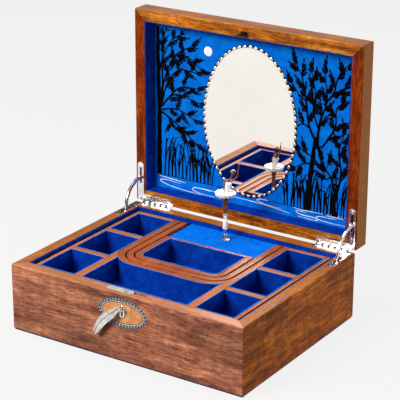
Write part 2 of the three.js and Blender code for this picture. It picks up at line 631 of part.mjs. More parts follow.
// The bolt is a bar with a window that the striker drops into. The key pushes its tail
// to the left, and the bar's right-hand end slides into the striker's notch.
const BOLT_Z = RIM_Z - 5.7;
const bolt = cut(
  join(box(-14, 6.4, -118.6, -114.2, BOLT_Z - 1.2, BOLT_Z + 1.2),
    box(-6.7, -3.7, -118.6, -114.2, KEY_Z - 1, BOLT_Z)),
  box(-3.6, 3.6, LOCK_Y - 1.1, LOCK_Y + 1.1, BOLT_Z - 2, BOLT_Z + 2));
add(lock, 'lock_bolt', bolt, brass());
add(lock, 'oval_inlay', cut(
  join(prismY(ellipse(0, OVAL_Z, OVAL_A, OVAL_B), -125.8, -124.95, 16),
    cut(prismY(ellipse(0, OVAL_Z, OVAL_A, OVAL_B), -126.6, -125.5, 16),
      prismY(ellipse(0, OVAL_Z, OVAL_A - 1.8, OVAL_B - 1.8), -130, -120, 16))),
  keyhole(0.3)), look(0xc98d5c, 0.7, 0));
const plate = new THREE.Shape();
plate.moveTo(-3.3, KEY_Z - 6.9);
plate.absarc(0, KEY_Z - 6.9, 3.3, Math.PI, Math.PI * 2, false);
plate.absarc(0, KEY_Z + 0.6, 3.6, -0.1, Math.PI + 0.1, false);
plate.closePath();
add(lock, 'keyhole_plate', cut(prismY(plate, -127.3, -126), keyhole(0)), chrome());

// The key's bow is a feather: a curved quill with a vane on each side, in one plane.
const keyPieces = group('key', 0, 0, KEY_Z, lock);
const FEATHER_Y = -133.4;
const quill = new THREE.CatmullRomCurve3(
  [[1.6, 3.4], [-1.3, 2.4], [-7.8, -2.9], [-15.8, -9.4], [-23.1, -16.3],
    [-29.1, -24.3], [-33.3, -31.8], [-34.3, -36.7]]
    .map(([x, z]) => new THREE.Vector3(x, FEATHER_Y, z)));
const QUILL_STEPS = 16;
const vane = (widest) => (t) => 0.9 + (widest - 0.9) * Math.sin(Math.PI * Math.min(1, t * 1.02)) ** 0.7;
const edge = (sign, width) => quill.getPoints(QUILL_STEPS).map((p, i) => {
  const along = quill.getTangent(i / QUILL_STEPS);
  const w = width(i / QUILL_STEPS) * sign;
  return [p.x - along.z * w, p.z + along.x * w];
});
const feather = polygon([...edge(1, vane(6)), ...edge(-1, vane(5)).reverse()]);
add(keyPieces, 'feather_key', join(
  rod('y', 1.6, FEATHER_Y - 0.8, -114.2, 0, 0),
  box(-0.9, 0.9, -118, -114.2, -7.4, 0),
  limb([0, FEATHER_Y, 0], [1.6, FEATHER_Y, 3.4], 1.5, 1.2),
  prismY(feather, FEATHER_Y - 0.8, FEATHER_Y + 0.8)), chrome());

export default root;
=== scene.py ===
"""A musical jewellery box in oiled walnut, open, with its lined tray, mirror and dancer.

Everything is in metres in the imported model's frame: +X right, -Y towards the lock, +Z up.
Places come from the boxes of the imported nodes, and sizes are named in millimetres.
"""
import math
import random
from contextlib import contextmanager

import bmesh
import bpy
from mathutils import Matrix, Vector


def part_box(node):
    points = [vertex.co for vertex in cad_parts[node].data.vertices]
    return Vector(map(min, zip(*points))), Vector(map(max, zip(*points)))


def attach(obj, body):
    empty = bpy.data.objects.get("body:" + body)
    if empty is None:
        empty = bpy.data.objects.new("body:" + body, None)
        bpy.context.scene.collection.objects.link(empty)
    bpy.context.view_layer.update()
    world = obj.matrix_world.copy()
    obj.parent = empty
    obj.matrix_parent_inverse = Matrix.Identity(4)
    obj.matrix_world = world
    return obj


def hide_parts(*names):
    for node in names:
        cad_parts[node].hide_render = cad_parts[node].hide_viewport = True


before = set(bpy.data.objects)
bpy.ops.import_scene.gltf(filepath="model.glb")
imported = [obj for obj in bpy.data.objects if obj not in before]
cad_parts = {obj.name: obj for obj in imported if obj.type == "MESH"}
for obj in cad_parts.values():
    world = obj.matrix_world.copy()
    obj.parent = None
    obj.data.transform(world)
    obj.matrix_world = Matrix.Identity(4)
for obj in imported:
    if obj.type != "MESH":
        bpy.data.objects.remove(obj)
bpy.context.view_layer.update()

MM = 0.001
SIDES = (("left", -1), ("right", 1))


def mm(*values):
    return tuple(value * MM for value in values)


def low(node):
    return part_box(node)[0] / MM


def high(node):
    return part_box(node)[1] / MM


# ------------------------------------------------------------------ modelling helpers

def deselect():
    bpy.ops.object.select_all(action="DESELECT")


def activate(piece):
    deselect()
    piece.select_set(True)
    bpy.context.view_layer.objects.active = piece


def fresh(name):
    """Names the primitive that was just added."""
    piece = bpy.context.object
    piece.name = name
    piece.data.name = name
    return piece


@contextmanager
def editing(piece):
    activate(piece)
    bpy.ops.object.mode_set(mode="EDIT")
    yield
    bpy.ops.object.mode_set(mode="OBJECT")


def pick_faces(piece, test):
    """In edit mode, selects the faces whose middle (in mm) and normal pass the test."""
    bpy.ops.mesh.select_mode(type="FACE")
    bpy.ops.mesh.select_all(action="DESELECT")
    mesh = bmesh.from_edit_mesh(piece.data)
    for face in mesh.faces:
        if test(piece.matrix_world @ face.calc_center_median() / MM, face.normal):
            face.select_set(True)
    mesh.select_flush_mode()
    bmesh.update_edit_mesh(piece.data)


def pick_edges(piece, test):
    """In edit mode, selects the edges whose two ends (in mm) pass the test."""
    bpy.ops.mesh.select_mode(type="EDGE")
    bpy.ops.mesh.select_all(action="DESELECT")
    mesh = bmesh.from_edit_mesh(piece.data)
    for edge in mesh.edges:
        ends = [piece.matrix_world @ vertex.co / MM for vertex in edge.verts]
        if test(*ends):
            edge.select_set(True)
    mesh.select_flush_mode()
    bmesh.update_edit_mesh(piece.data)


def turn_outwards(piece):
    """Points every face away from the inside."""
    with editing(piece):
        bpy.ops.mesh.select_all(action="SELECT")
        bpy.ops.mesh.normals_make_consistent(inside=False)


def round_over(piece, test, size, segments):
    """Rounds the edges of the faces that pass the test, by a size in mm."""
    with editing(piece):
        pick_faces(piece, test)
        bpy.ops.mesh.bevel(offset=size * MM, segments=segments)


def settle(piece):
    """Puts the object at the origin, unturned and unscaled, with its place in its mesh."""
    activate(piece)
    bpy.ops.object.transform_apply(location=True, rotation=True, scale=True)
    return piece


def modify(piece, kind, **settings):
    """Adds a modifier and applies it."""
    modifier = piece.modifiers.new(kind.lower(), kind)
    for key, value in settings.items():
        setattr(modifier, key, value)
    activate(piece)
    bpy.ops.object.modifier_apply(modifier=modifier.name)
    return piece


def smooth(piece, angle=35):
    activate(piece)
    bpy.ops.object.shade_smooth_by_angle(angle=math.radians(angle))
    return piece


SHARP = {"limit_method": "ANGLE", "angle_limit": math.radians(40)}  # eases only sharp edges


def ease(piece, width, segments, **settings):
    """Rounds a piece's edges by a width in mm; settings may keep it to the sharp ones."""
    return modify(piece, "BEVEL", width=width * MM, segments=segments, **settings)


def join(pieces, name):
    deselect()
    for piece in pieces:
        piece.select_set(True)
    bpy.context.view_layer.objects.active = pieces[0]
    bpy.ops.object.join()
    return settle(fresh(name))


def block(name, x0, x1, y0, y1, z0, z1):
    """A cube primitive scaled to its limits, in mm."""
    deselect()
    middle = mm((x0 + x1) / 2, (y0 + y1) / 2, (z0 + z1) / 2)
    bpy.ops.mesh.primitive_cube_add(size=1, location=middle, scale=mm(x1 - x0, y1 - y0, z1 - z0))
    return settle(fresh(name))


def cylinder(name, radius, depth, place, axis="Z", sides=32):
    """A cylinder primitive about a point, in mm."""
    turn = {"X": (0, math.pi / 2, 0), "Y": (math.pi / 2, 0, 0), "Z": (0, 0, 0)}[axis]
    deselect()
    bpy.ops.mesh.primitive_cylinder_add(
        vertices=sides, radius=radius * MM, depth=depth * MM, location=mm(*place), rotation=turn)
    return settle(fresh(name))


def limb(a, b, ra, rb, sides=14):
    """A tapered round limb between two points, in mm."""
    start, end = Vector(a), Vector(b)
    along = end - start
    deselect()
    bpy.ops.mesh.primitive_cone_add(
        vertices=sides, radius1=ra * MM, radius2=rb * MM, depth=along.length * MM,
        location=mm(*((start + end) / 2)),
        rotation=along.to_track_quat("Z", "Y").to_euler())
    return settle(fresh("limb"))


def ball(place, radius, scale=(1, 1, 1), sides=18):
    deselect()
    bpy.ops.mesh.primitive_uv_sphere_add(
        segments=sides, ring_count=sides * 2 // 3, radius=radius * MM, location=mm(*place), scale=scale)
    return settle(fresh("ball"))


def copies(piece, places, name):
    """One joined piece made of a copy of the piece, with its own mesh, at each matrix."""
    made = []
    for place in places:
        twin = piece.copy()
        twin.data = piece.data.copy()
        bpy.context.scene.collection.objects.link(twin)
        twin.matrix_world = place
        made.append(twin)
    bpy.data.objects.remove(piece)
    return join(made, name)


def carve(piece, tool):
    """Cuts the tool out of the piece and removes the tool."""
    modify(piece, "BOOLEAN", object=tool, operation="DIFFERENCE", solver="EXACT")
    bpy.data.objects.remove(tool)
    return piece


def dress(piece, body, finish, slot, *replaced):
    """Gives a finished piece its material and its body, and hides the nodes it stands for. The slot is not
    used.
    """
    if finish is not None:
        piece.data.materials.clear()
        piece.data.materials.append(finish)
    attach(piece, body)
    if replaced:
        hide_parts(*replaced)
    return piece


def tube(name, strokes, flat=None):
    """Round strokes, each a list of (point in mm, radius in mm), made into one mesh.

    flat = (plane y in mm, share) presses the strokes towards a plane that faces -Y.
    """
    curve = bpy.data.curves.new(name, "CURVE")
    curve.dimensions = "3D"
    curve.bevel_depth = MM
    curve.bevel_resolution = 1
    curve.use_fill_caps = True
    for stroke in strokes:
        spline = curve.splines.new("POLY")
        spline.points.add(len(stroke) - 1)
        for point, (place, radius) in zip(spline.points, stroke):
            point.co = (*mm(*place), 1)
            point.radius = radius
    piece = bpy.data.objects.new(name, curve)
    bpy.context.scene.collection.objects.link(piece)
    activate(piece)
    bpy.ops.object.convert(target="MESH")
    piece = fresh(name)
    if flat:
        plane, share = flat
        for vertex in piece.data.vertices:
            vertex.co.y = (plane + (vertex.co.y / MM - plane) * share) * MM
    return piece


def bend(points, steps=10):
    """A smooth run of points through the given ones, by Catmull-Rom."""
    guides = [Vector(p) for p in points]
    guides = [2 * guides[0] - guides[1], *guides, 2 * guides[-1] - guides[-2]]
    run = []
    for a, b, c, d in zip(guides, guides[1:], guides[2:], guides[3:]):
        for i in range(steps):
            t = i / steps
            run.append(0.5 * (2 * b + (c - a) * t + (2 * a - 5 * b + 4 * c - d) * t * t
                              + (3 * b - a - 3 * c + d) * t ** 3))
    run.append(guides[-2])
    return run


def bead_ring(name, centre, a, b, count, sides, steps, bead):
    """Beads at even places round an upright oval, each lying along it.

    bead is its half length as a share of the pitch, and its half thickness and half width."""
    ring = [(a * math.cos(2 * math.pi * i / steps), b * math.sin(2 * math.pi * i / steps))
            for i in range(steps + 1)]
    pitch = sum(math.dist(p, q) for p, q in zip(ring, ring[1:])) / count
    places, travelled, due = [], 0, 0
    for p, q in zip(ring, ring[1:]):
        if len(places) < count and travelled >= due:
            due += pitch
            slope = math.atan2(q[1] - p[1], q[0] - p[0])
            at = mm(centre[0] + p[0], centre[1], centre[2] + p[1])
            places.append(Matrix.Translation(at) @ Matrix.Rotation(-slope, 4, "Y")
                          @ Matrix.Diagonal((pitch * bead[0], bead[1], bead[2], 1)))
        travelled += math.dist(p, q)
    return smooth(copies(ball((0, 0, 0), 1, sides=sides), places, name), 60)


# ------------------------------------------------------------------ materials

def srgb(text):
    """A hex colour as linear red, green, blue and alpha."""
    parts = [int(text[i:i + 2], 16) / 255 for i in (1, 3, 5)]
    return (*[c / 12.92 if c <= 0.04045 else ((c + 0.055) / 1.055) ** 2.4 for c in parts], 1)


def node(tree, kind, inputs=None, stops=None, **settings):
    """Adds a node with its settings, its ramp stops, and its inputs as values or links."""
    made = tree.nodes.new("ShaderNode" + kind)
    for key, value in settings.items():
        setattr(made, key, value)
    for key, value in (inputs or {}).items():
        if isinstance(value, bpy.types.NodeSocket):
            tree.links.new(value, made.inputs[key])
        else:
            made.inputs[key].default_value = value
    if stops:
        ramp = made.color_ramp.elements
        while len(ramp) < len(stops):
            ramp.new(1)
        for element, (place, colour) in zip(ramp, stops):
            element.position = place
            element.color = srgb(colour) if isinstance(colour, str) else (colour, colour, colour, 1)
    return made


def material(name):
    """A new material, its node tree and its texture coordinates."""
    made = bpy.data.materials.new(name)
    made.use_nodes = True
    return made, made.node_tree, node(made.node_tree, "TexCoord")


def shade(made, **values):
    """Links patterns to the shader and sets what is even on its own sockets."""
    principled = made.node_tree.nodes["Principled BSDF"]
    for key, value in values.items():
        socket = principled.inputs[key.replace("_", " ")]
        if isinstance(value, bpy.types.NodeSocket):
            made.node_tree.links.new(value, socket)
        else:
            socket.default_value = value
    return made


def oiled_walnut(name, grain, dark, mid, light, edge, gloss=0.42, outer=None, shine=0.18):
    """Planed walnut, rubbed with oil: straight figure with dark streaks, short dark pores
    along the grain, a soft shimmer across it, and a satin face. Figure bands are about 9 mm
    apart. Real pores are 0.2 mm wide, so they are drawn 1.2 mm wide here to show at all.
    Faces that look up are mixed towards the edge colour, a painted highlight for the light from
    above, and the outside faces of a stile towards the outer tan, painted light from the side."""
    made, tree, place = material(name)
    along = {"X": 0, "Y": 1, "Z": 2}[grain]

    def stretched(share, across=1):
        scale = [across, across, across]
        scale[along] = share
        return node(tree, "Mapping", {"Vector": place.outputs["Object"], "Scale": scale}).outputs[0]

    def overlay(below, vector, noise, stops, strength=1):
        """Darkens and lightens what is below by a noise pattern."""
        pattern = node(tree, "TexNoise", {"Vector": vector, **noise})
        ramp = node(tree, "ValToRGB", {0: pattern.outputs["Fac"]}, stops=stops)
        return pattern, node(tree, "MixRGB", {0: strength, 1: below.outputs[0], 2: ramp.outputs[0]},
                             blend_type="MULTIPLY")

    warp = node(tree, "TexNoise", {"Vector": stretched(0.5), "Scale": 30, "Detail": 2})
    waved = node(tree, "MixRGB", {0: 0.014, 1: stretched(0.14), 2: warp.outputs["Color"]}, blend_type="ADD")
    figure = node(tree, "TexNoise", {"Vector": waved.outputs[0], "Scale": 105, "Detail": 6,
                                     "Roughness": 0.68})
    figured = node(tree, "ValToRGB", {0: figure.outputs["Fac"]},
                   stops=[(0.3, dark), (0.5, mid), (0.7, light)])
    streak, fibre = overlay(figured, stretched(0.1), {"Scale": 560, "Detail": 3, "Roughness": 0.7},
                            [(0.38, 0.6), (0.58, 1.12)])
    _, pored = overlay(fibre, stretched(0.17), {"Scale": 800, "Detail": 1},
                       [(0.33, 0.3), (0.44, 1)], 0.8)
    _, shimmered = overlay(pored, stretched(1, 0.4), {"Scale": 130, "Detail": 3},
                           [(0.35, 0.84), (0.65, 1.16)])
    _, toned = overlay(shimmered, stretched(0.5), {"Scale": 20, "Detail": 2},
                       [(0.35, 0.76), (0.65, 1.2)])
    facing = node(tree, "SeparateXYZ", {0: place.outputs["Normal"]})
    # painted highlight: faces that look up turn paler towards the edge colour, standing in for the light
    # from above
    top_highlight_mask = node(tree, "MapRange", {"Value": facing.outputs["Z"], "From Min": 0.6, "From Max": 0.95})
    pale = node(tree, "MixRGB", {0: 0.55, 1: toned.outputs[0], 2: srgb(edge)})
    face = node(tree, "MixRGB", {0: top_highlight_mask.outputs[0], 1: toned.outputs[0], 2: pale.outputs[0]})
    # painted side light: faces that look along X, the outside of a stile, turn towards the outer tan,
    # standing in for the light from the side
    if outer:
        outward = node(tree, "Math", {0: facing.outputs["X"]}, operation="ABSOLUTE")
        side_light_mask = node(tree, "MapRange", {"Value": outward.outputs[0], "From Min": 0.6, "From Max": 0.95})
        tan = node(tree, "MixRGB", {0: 0.6, 1: toned.outputs[0], 2: srgb(outer)})
        face = node(tree, "MixRGB", {0: side_light_mask.outputs[0], 1: face.outputs[0], 2: tan.outputs[0]})
    rough = node(tree, "MapRange", {"Value": streak.outputs["Fac"],
                                    "To Min": gloss - 0.08, "To Max": gloss + 0.12})
    bump = node(tree, "Bump", {"Strength": 0.3, "Distance": 0.0003, "Height": pored.outputs[0]})
    return shade(made, Base_Color=face.outputs[0], Roughness=rough.outputs[0], Normal=bump.outputs[0],
                 Specular_IOR_Level=shine, Coat_Weight=shine / 6, Coat_Roughness=0.3)


def suede(name, dark, body, bright):
    """Brushed suede cloth on card: short nap that lies in soft patches 8 to 20 mm across,
    a fine tooth under 1 mm, and a pale sheen where the nap is seen from the side."""
    made, tree, coordinates = material(name)
    place = coordinates.outputs["Object"]
    nap = node(tree, "TexNoise", {"Vector": place, "Scale": 75, "Detail": 4, "Roughness": 0.6,
                                  "Distortion": 0.8})
    tooth = node(tree, "TexNoise", {"Vector": place, "Scale": 1300, "Detail": 2})
    mixed = node(tree, "MixRGB", {0: 0.35, 1: nap.outputs["Fac"], 2: tooth.outputs["Fac"]})
    tinted = node(tree, "ValToRGB", {0: mixed.outputs[0]},
                  stops=[(0.3, dark), (0.5, body), (0.7, bright)])
    bump = node(tree, "Bump", {"Strength": 0.35, "Distance": 0.0004, "Height": tooth.outputs["Fac"]})
    return shade(made, Base_Color=tinted.outputs[0], Normal=bump.outputs[0], Roughness=0.95,
                 Sheen_Weight=0.12, Sheen_Roughness=0.4, Specular_IOR_Level=0.04,
                 Sheen_Tint=srgb("#0A7CFF"))


def metal(name, tone, worn, rough, spread, scale=160):
    """Plated or turned metal: an even tone with faint handling haze in the gloss."""
    made, tree, place = material(name)
    haze = node(tree, "TexNoise", {"Vector": place.outputs["Object"], "Scale": scale, "Detail": 3})
    tinted = node(tree, "ValToRGB", {0: haze.outputs["Fac"]}, stops=[(0.35, worn), (0.6, tone)])
    gloss = node(tree, "MapRange", {"Value": haze.outputs["Fac"],
                                    "To Min": rough, "To Max": rough + spread})
    return shade(made, Base_Color=tinted.outputs[0], Roughness=gloss.outputs[0], Metallic=1)


def painted(name, first, second, scale, rough, **more):
    """A painted, printed, moulded or veneered face with two close tones in soft patches."""
    made, tree, place = material(name)
    cloud = node(tree, "TexNoise", {"Vector": place.outputs["Object"], "Scale": scale, "Detail": 4,
                                    "Roughness": 0.6})
    tinted = node(tree, "ValToRGB", {0: cloud.outputs["Fac"]}, stops=[(0.38, first), (0.62, second)])
    bump = node(tree, "Bump", {"Strength": 0.15, "Distance": 0.0002, "Height": cloud.outputs["Fac"]})
    return shade(made, Base_Color=tinted.outputs[0], Normal=bump.outputs[0], Roughness=rough, **more)


def plywood_sheet():
    """Birch plywood: pale rotary-cut face with long soft figure, sanded and left bare."""
    made, tree, place = material("birch_plywood_sanded")
    stretched = node(tree, "Mapping", {"Vector": place.outputs["Object"], "Scale": (0.12, 1, 1)})
    figure = node(tree, "TexNoise", {"Vector": stretched.outputs[0], "Scale": 90, "Detail": 5,
                                     "Distortion": 1.2})
    tinted = node(tree, "ValToRGB", {0: figure.outputs["Fac"]},
                  stops=[(0.35, "#A9814F"), (0.5, "#C9A273"), (0.7, "#DDBE92")])
    return shade(made, Base_Color=tinted.outputs[0], Roughness=0.75)


def silvered_glass():
    """Silvered plate glass: a full mirror, a touch warm, with the faintest haze."""
    made, tree, place = material("mirror_glass_silvered")
    haze = node(tree, "TexNoise", {"Vector": place.outputs["Object"], "Scale": 30, "Detail": 2})
    tinted = node(tree, "ValToRGB", {0: haze.outputs["Fac"]}, stops=[(0.3, "#F6F1EA"), (0.7, "#FAF6F0")])
    return shade(made, Base_Color=tinted.outputs[0], Metallic=1, Roughness=0.015)


# the edge colour given to each walnut is a painted highlight on the faces that look up
WALNUT_FRONT = oiled_walnut("walnut_oiled_front", "X", "#5C2C20", "#9C6149", "#CE8D6A", "#B27A52")
WALNUT_BACK = oiled_walnut("walnut_oiled_back", "X", "#40180A", "#8A4A20", "#B87238", "#A86824")
WALNUT_SIDE = oiled_walnut("walnut_oiled_side", "Y", "#4A200A", "#9C5210", "#C87E26", "#9C6844",
                           shine=0.05)
WALNUT_RAIL = oiled_walnut("walnut_oiled_rail", "X", "#5A2606", "#A45C12", "#D28A30", "#98745E",
                           shine=0.1)
# the stiles' outer tan on their side faces is painted light from the side
WALNUT_STILE = oiled_walnut("walnut_oiled_stile", "Z", "#401202", "#803004", "#AC5206", "#98745E",
                            outer="#A2743E", shine=0.06)
WALNUT_PANEL = oiled_walnut("walnut_oiled_panel", "X", "#4A2010", "#8A4E2A", "#B27448", "#98745E")
TRAY_X = oiled_walnut("walnut_thin_board_cross", "X", "#4E1C06", "#96480F", "#BC6E36", "#BE744A", 0.5)
TRAY_Y = oiled_walnut("walnut_thin_board_long", "Y", "#4E1C06", "#96480F", "#BC6E36", "#BE744A", 0.5)
TRAY_BAND = oiled_walnut("walnut_bent_band", "Y", "#441602", "#863A0C", "#B06030", "#A45A34", 0.45)
PLYWOOD = plywood_sheet()
SUEDE = suede("suede_cloth_royal_blue", "#001E74", "#002F92", "#0247B6")
SUEDE_SCENE = suede("suede_cloth_printed_ground", "#0050B8", "#0068D2", "#027EE8")
LINING_EDGE = suede("suede_cloth_cut_edge", "#0860C8", "#1C7CE0", "#3C96F0")
# the deck's suede is a brighter copy of the lining suede: painted light for the deck, which faces the lamps
# above
SUEDE_DECK_LIT = suede("suede_cloth_deck_lit", "#004CBC", "#0066D4", "#027CE6")
BAIZE = suede("wool_baize_navy", "#0B1A3C", "#12264F", "#1B3262")
NICKEL = metal("nickel_plate_polished", "#EDEDEF", "#DCDCE0", 0.1, 0.1)
NICKEL_SOFT = metal("nickel_plate_turned", "#D6D6DA", "#B4B4BA", 0.2, 0.12)
SATIN_NICKEL = metal("nickel_plate_satin", "#F4F2EE", "#E6E4E0", 0.5, 0.12)
SILVER = metal("silver_plate_cast", "#E9E6E0", "#C9C5BD", 0.22, 0.14)
TARNISH = metal("silver_oxidised_recess", "#2A2A2E", "#141417", 0.4, 0.2)
STEEL = metal("steel_turned", "#A7A9AD", "#8D8F94", 0.25, 0.15)
BRASS = metal("brass_machined", "#D9B45C", "#B58F3C", 0.22, 0.15)
GLASS = silvered_glass()
# flocked print: dense black pile with no gloss
PRINT_BLACK = painted("flock_print_black", "#010102", "#05060B", 900, 1, Specular_IOR_Level=0.05)
PRINT_WHITE = painted("flock_print_white", "#D8DEE6", "#F3F5F8", 900, 0.85)
# sliced pear veneer: warm tan, nearly even, under thin oil
VENEER = painted("pear_veneer_oiled", "#BC7A44", "#D39A66", 140, 0.5)
VENEER_DARK = painted("dyed_veneer_line", "#2B1710", "#3F241A", 400, 0.5)
VENEER_PALE = painted("holly_veneer_line", "#D9BE96", "#EAD6B4", 400, 0.5)
# blued enamel beads: glassy slate blue
ENAMEL = painted("enamel_bead_steel_blue", "#3E6F92", "#6FA0C0", 500, 0.25, Coat_Weight=0.5)
SKIN = painted("resin_painted_skin", "#4E2B1C", "#6E4230", 500, 0.42, Subsurface_Weight=0.05)
HAIR = painted("resin_painted_hair", "#0E0908", "#1E1410", 1400, 0.5)
SATIN = painted("resin_painted_white_satin", "#DCDCDE", "#F6F6F4", 600, 0.38)
PLASTIC = painted("abs_moulded_white", "#E6E6E4", "#F4F4F2", 300, 0.3)
TULLE = painted("nylon_net_starched", "#E2E3E8", "#FAFAFC", 1500, 0.8, Sheen_Weight=0.3)
INK = painted("enamel_fine_line", "#120A08", "#1C100C", 900, 0.45)
LIP = painted("enamel_lip", "#7A2F2A", "#8E3B34", 900, 0.4)

NODE_FINISH = {
    WALNUT_FRONT: ["wall_front"],
    WALNUT_BACK: ["wall_back"],
    WALNUT_SIDE: ["wall_left", "wall_right"],
    WALNUT_RAIL: ["lid_rail_front", "lid_rail_back"],
    WALNUT_STILE: ["lid_rail_left", "lid_rail_right"],
    WALNUT_PANEL: ["lid_panel"],
    TRAY_Y: ["tray_partition_left", "tray_partition_right"],
    PLYWOOD: ["base_board", "tray_base", "tray_ledge_left", "tray_ledge_right"],
    SUEDE: ["case_lining", "lid_lining"],
    SUEDE_DECK_LIT: ["music_housing"],
    SUEDE_SCENE: ["scene_panel"],
    BAIZE: ["base_baize"],
    STEEL: ["movement_bed", "movement_comb", "drive_spindle", "hinge_pin_left", "hinge_pin_right"],
    BRASS: ["movement_barrel", "movement_cylinder", "winding_key", "lock_bolt"],
    SATIN_NICKEL: ["lock_case"],
    TARNISH: ["lock_striker"],
    GLASS: ["mirror_glass"],
}


def finish_nodes():
    for finish, names in NODE_FINISH.items():
        for name in names:
            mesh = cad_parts[name].data
            mesh.materials.clear()
            mesh.materials.append(finish)


# ------------------------------------------------------------------ tray

LINING = 0.9  # thickness of suede on card
PROUD = 0.25  # how far the lining's cut edge stands above the wood
RIM_TOP = high("tray_wall_left").z
BAND_CORNER = (45.2, -6.8)  # the middle of the bands' round corners
INNER_BAND = (high("band_inner").x - BAND_CORNER[0], 9)  # its outer and inner corner radius
OUTER_HOLLOW, MIDDLE_HOLLOW = 29.5, 19.2  # inner corner radius of the other two bands
CENTRE_BACK = 48.5  # where the centre bin ends
FLOOR_GAP = 0.2  # the linings stand this far above the tray's bottom


def lined(piece, name):
    """Hollows a solid block from the top into a lining, with its cut edge paler."""
    top = RIM_TOP + PROUD
    floor = high("tray_base").z + FLOOR_GAP
    with editing(piece):
        pick_faces(piece, lambda c, n: n.z > 0.9)
        bpy.ops.mesh.inset(thickness=LINING * MM, depth=0)
        bpy.ops.mesh.extrude_region_move(
            TRANSFORM_OT_translate={"value": (0, 0, -(top - floor - LINING) * MM)})
    piece.name = name
    smooth(piece, 30)
    dress(piece, "case", SUEDE, "suede")
    piece.data.materials.append(LINING_EDGE)
    for face in piece.data.polygons:
        if face.normal.z > 0.9 and face.center.z > (top - 0.1) * MM:
            face.material_index = 1
    return piece


def rounded_block(name, x0, x1, y0, y1, z0, z1, corner):
    """A block whose two front upright edges are rounded."""
    piece = block(name, x0, x1, y0, y1, z0, z1)
    with editing(piece):
        pick_edges(piece, lambda a, b: abs(a.z - b.z) > 1 and abs(a.y - y0) < 0.01)
        bpy.ops.mesh.bevel(offset=corner * MM, segments=20, affect="EDGES", clamp_overlap=False)
    return piece


def make_linings():
    floor = high("tray_base").z + FLOOR_GAP
    top = RIM_TOP + PROUD
    gap = 0.1
    front = high("tray_wall_front").y
    for tag, side in SIDES:
        outer = abs(low("tray_wall_right").x)
        inner = high("band_outer").x + gap
        rows = [front, low(f"tray_divider_front_{tag}").y, high(f"tray_divider_front_{tag}").y,
                low(f"tray_divider_rear_{tag}").y, high(f"tray_divider_rear_{tag}").y,
                low(f"tray_wall_rear_{tag}").y]
        for row, place in enumerate(("front", "middle", "rear")):
            y0, y1 = rows[2 * row] + gap, rows[2 * row + 1] - gap
            x0, x1 = sorted((side * inner, side * (outer - gap)))
            lined(block("cell", x0, x1, y0, y1, floor, top), f"lining_cell_{place}_{tag}")
    band = high("band_outer").x
    bin_x = low("tray_partition_right").x - gap
    corner = band - BAND_CORNER[0]
    front_bin = block("bin", -bin_x, bin_x, front + gap, BAND_CORNER[1], floor, top)
    tool = rounded_block("tool", -band - gap, band + gap, BAND_CORNER[1] - corner - gap, 90,
                         floor - 5, top + 5, corner + gap)
    lined(carve(front_bin, tool), "lining_front_bin")
    x1 = BAND_CORNER[0] + INNER_BAND[1] - gap
    lined(rounded_block("bin", -x1, x1, BAND_CORNER[1] - INNER_BAND[1] + gap, CENTRE_BACK - gap,
                        floor, top, INNER_BAND[1] - gap), "lining_centre_bin")


def board(name, finish):
    """A thin board in place of a plain node, with its long edges eased by sandpaper."""
    a, b = low(name), high(name)
    piece = block(f"{name}_eased", a.x, b.x, a.y, b.y, a.z, b.z)
    return dress(smooth(ease(piece, 0.5, 3), 40), "case", finish, "tray_wood", name)


def band(name, outer, inner, back, inner_back):
    """One U-shaped band, or the closed rim round the centre bin."""
    x, y = BAND_CORNER
    z0, z1 = low(name).z, high(name).z
    piece = rounded_block(f"{name}_eased", -x - outer, x + outer, y - outer, back, z0, z1, outer)
    tool = rounded_block("tool", -x - inner, x + inner, y - inner, inner_back, z0 - 5, z1 + 5, inner)
    carve(piece, tool)
    return dress(smooth(ease(piece, 0.5, 3, **SHARP)), "case", TRAY_BAND, "tray_wood", name)


def make_tray():
    for tag, _ in SIDES:
        board(f"tray_wall_{tag}", TRAY_Y)
        for name in ("tray_wall_rear", "tray_divider_rear", "tray_divider_front"):
            board(f"{name}_{tag}", TRAY_X)
    board("tray_wall_front", TRAY_X)
    x = BAND_CORNER[0]
    back = high("band_outer").y
    past = back + 20
    band("band_outer", high("band_outer").x - x, OUTER_HOLLOW, back, past)
    band("band_middle", high("band_middle").x - x, MIDDLE_HOLLOW, back, past)
    band("band_inner", high("band_inner").x - x, INNER_BAND[1], high("band_inner").y, CENTRE_BACK)


# ------------------------------------------------------------------ lid picture and mirror

SCENE_FACE = low("scene_panel").y  # the picture's face looks towards -Y while the lid is open
SCENE_FOOT = low("scene_panel").z
PRINT_RAISED = 0.22  # how far the print stands off the cloth


def on_scene(x, height, radius):
    """A stroke point at x and a height above the picture's foot."""
    return ((x, SCENE_FACE, SCENE_FOOT + height), radius)


def print_strokes(name, strokes, finish=None):
    """Strokes pressed flat on the picture, black unless another finish is given."""
    widest = max(radius for stroke in strokes for _, radius in stroke)
    piece = tube(name, strokes, (SCENE_FACE, min(0.3, PRINT_RAISED * 2 / widest)))
    return dress(smooth(piece, 60), "lid", finish or PRINT_BLACK, "suede")


def leaf_places(spray):
    """Matrices for leaves: spray holds (x, height, angle, length, width), angle from +X."""
    places = []
    for i, (x, height, angle, length, width) in enumerate(spray):
        lift = 0.03 + 0.025 * (i % 7)
        move = Matrix.Translation(mm(x, SCENE_FACE - lift, SCENE_FOOT + height))
        turn = Matrix.Rotation(-angle, 4, "Y")
        size = Matrix.Diagonal((length, 1, width, 1))
        places.append(move @ turn @ size)
    return places


def leaf():
    """One leaf a millimetre long and wide at scale 1, growing from the origin along +X."""
    deselect()
    bpy.ops.mesh.primitive_circle_add(vertices=8, radius=0.5 * MM, fill_type="NGON",
                                      rotation=(math.pi / 2, 0, 0), location=mm(0.5, 0, 0))
    piece = settle(fresh("leaf"))
    with editing(piece):
        bpy.ops.mesh.select_all(action="SELECT")
        bpy.ops.mesh.extrude_region_move(TRANSFORM_OT_translate={"value": (0, -PRINT_RAISED * MM, 0)})
    for vertex in piece.data.vertices:
        taper = 1 - abs(2 * vertex.co.x / MM - 1) ** 2.4
        vertex.co.z *= 0.45 + 0.55 * taper
    turn_outwards(piece)
    return piece


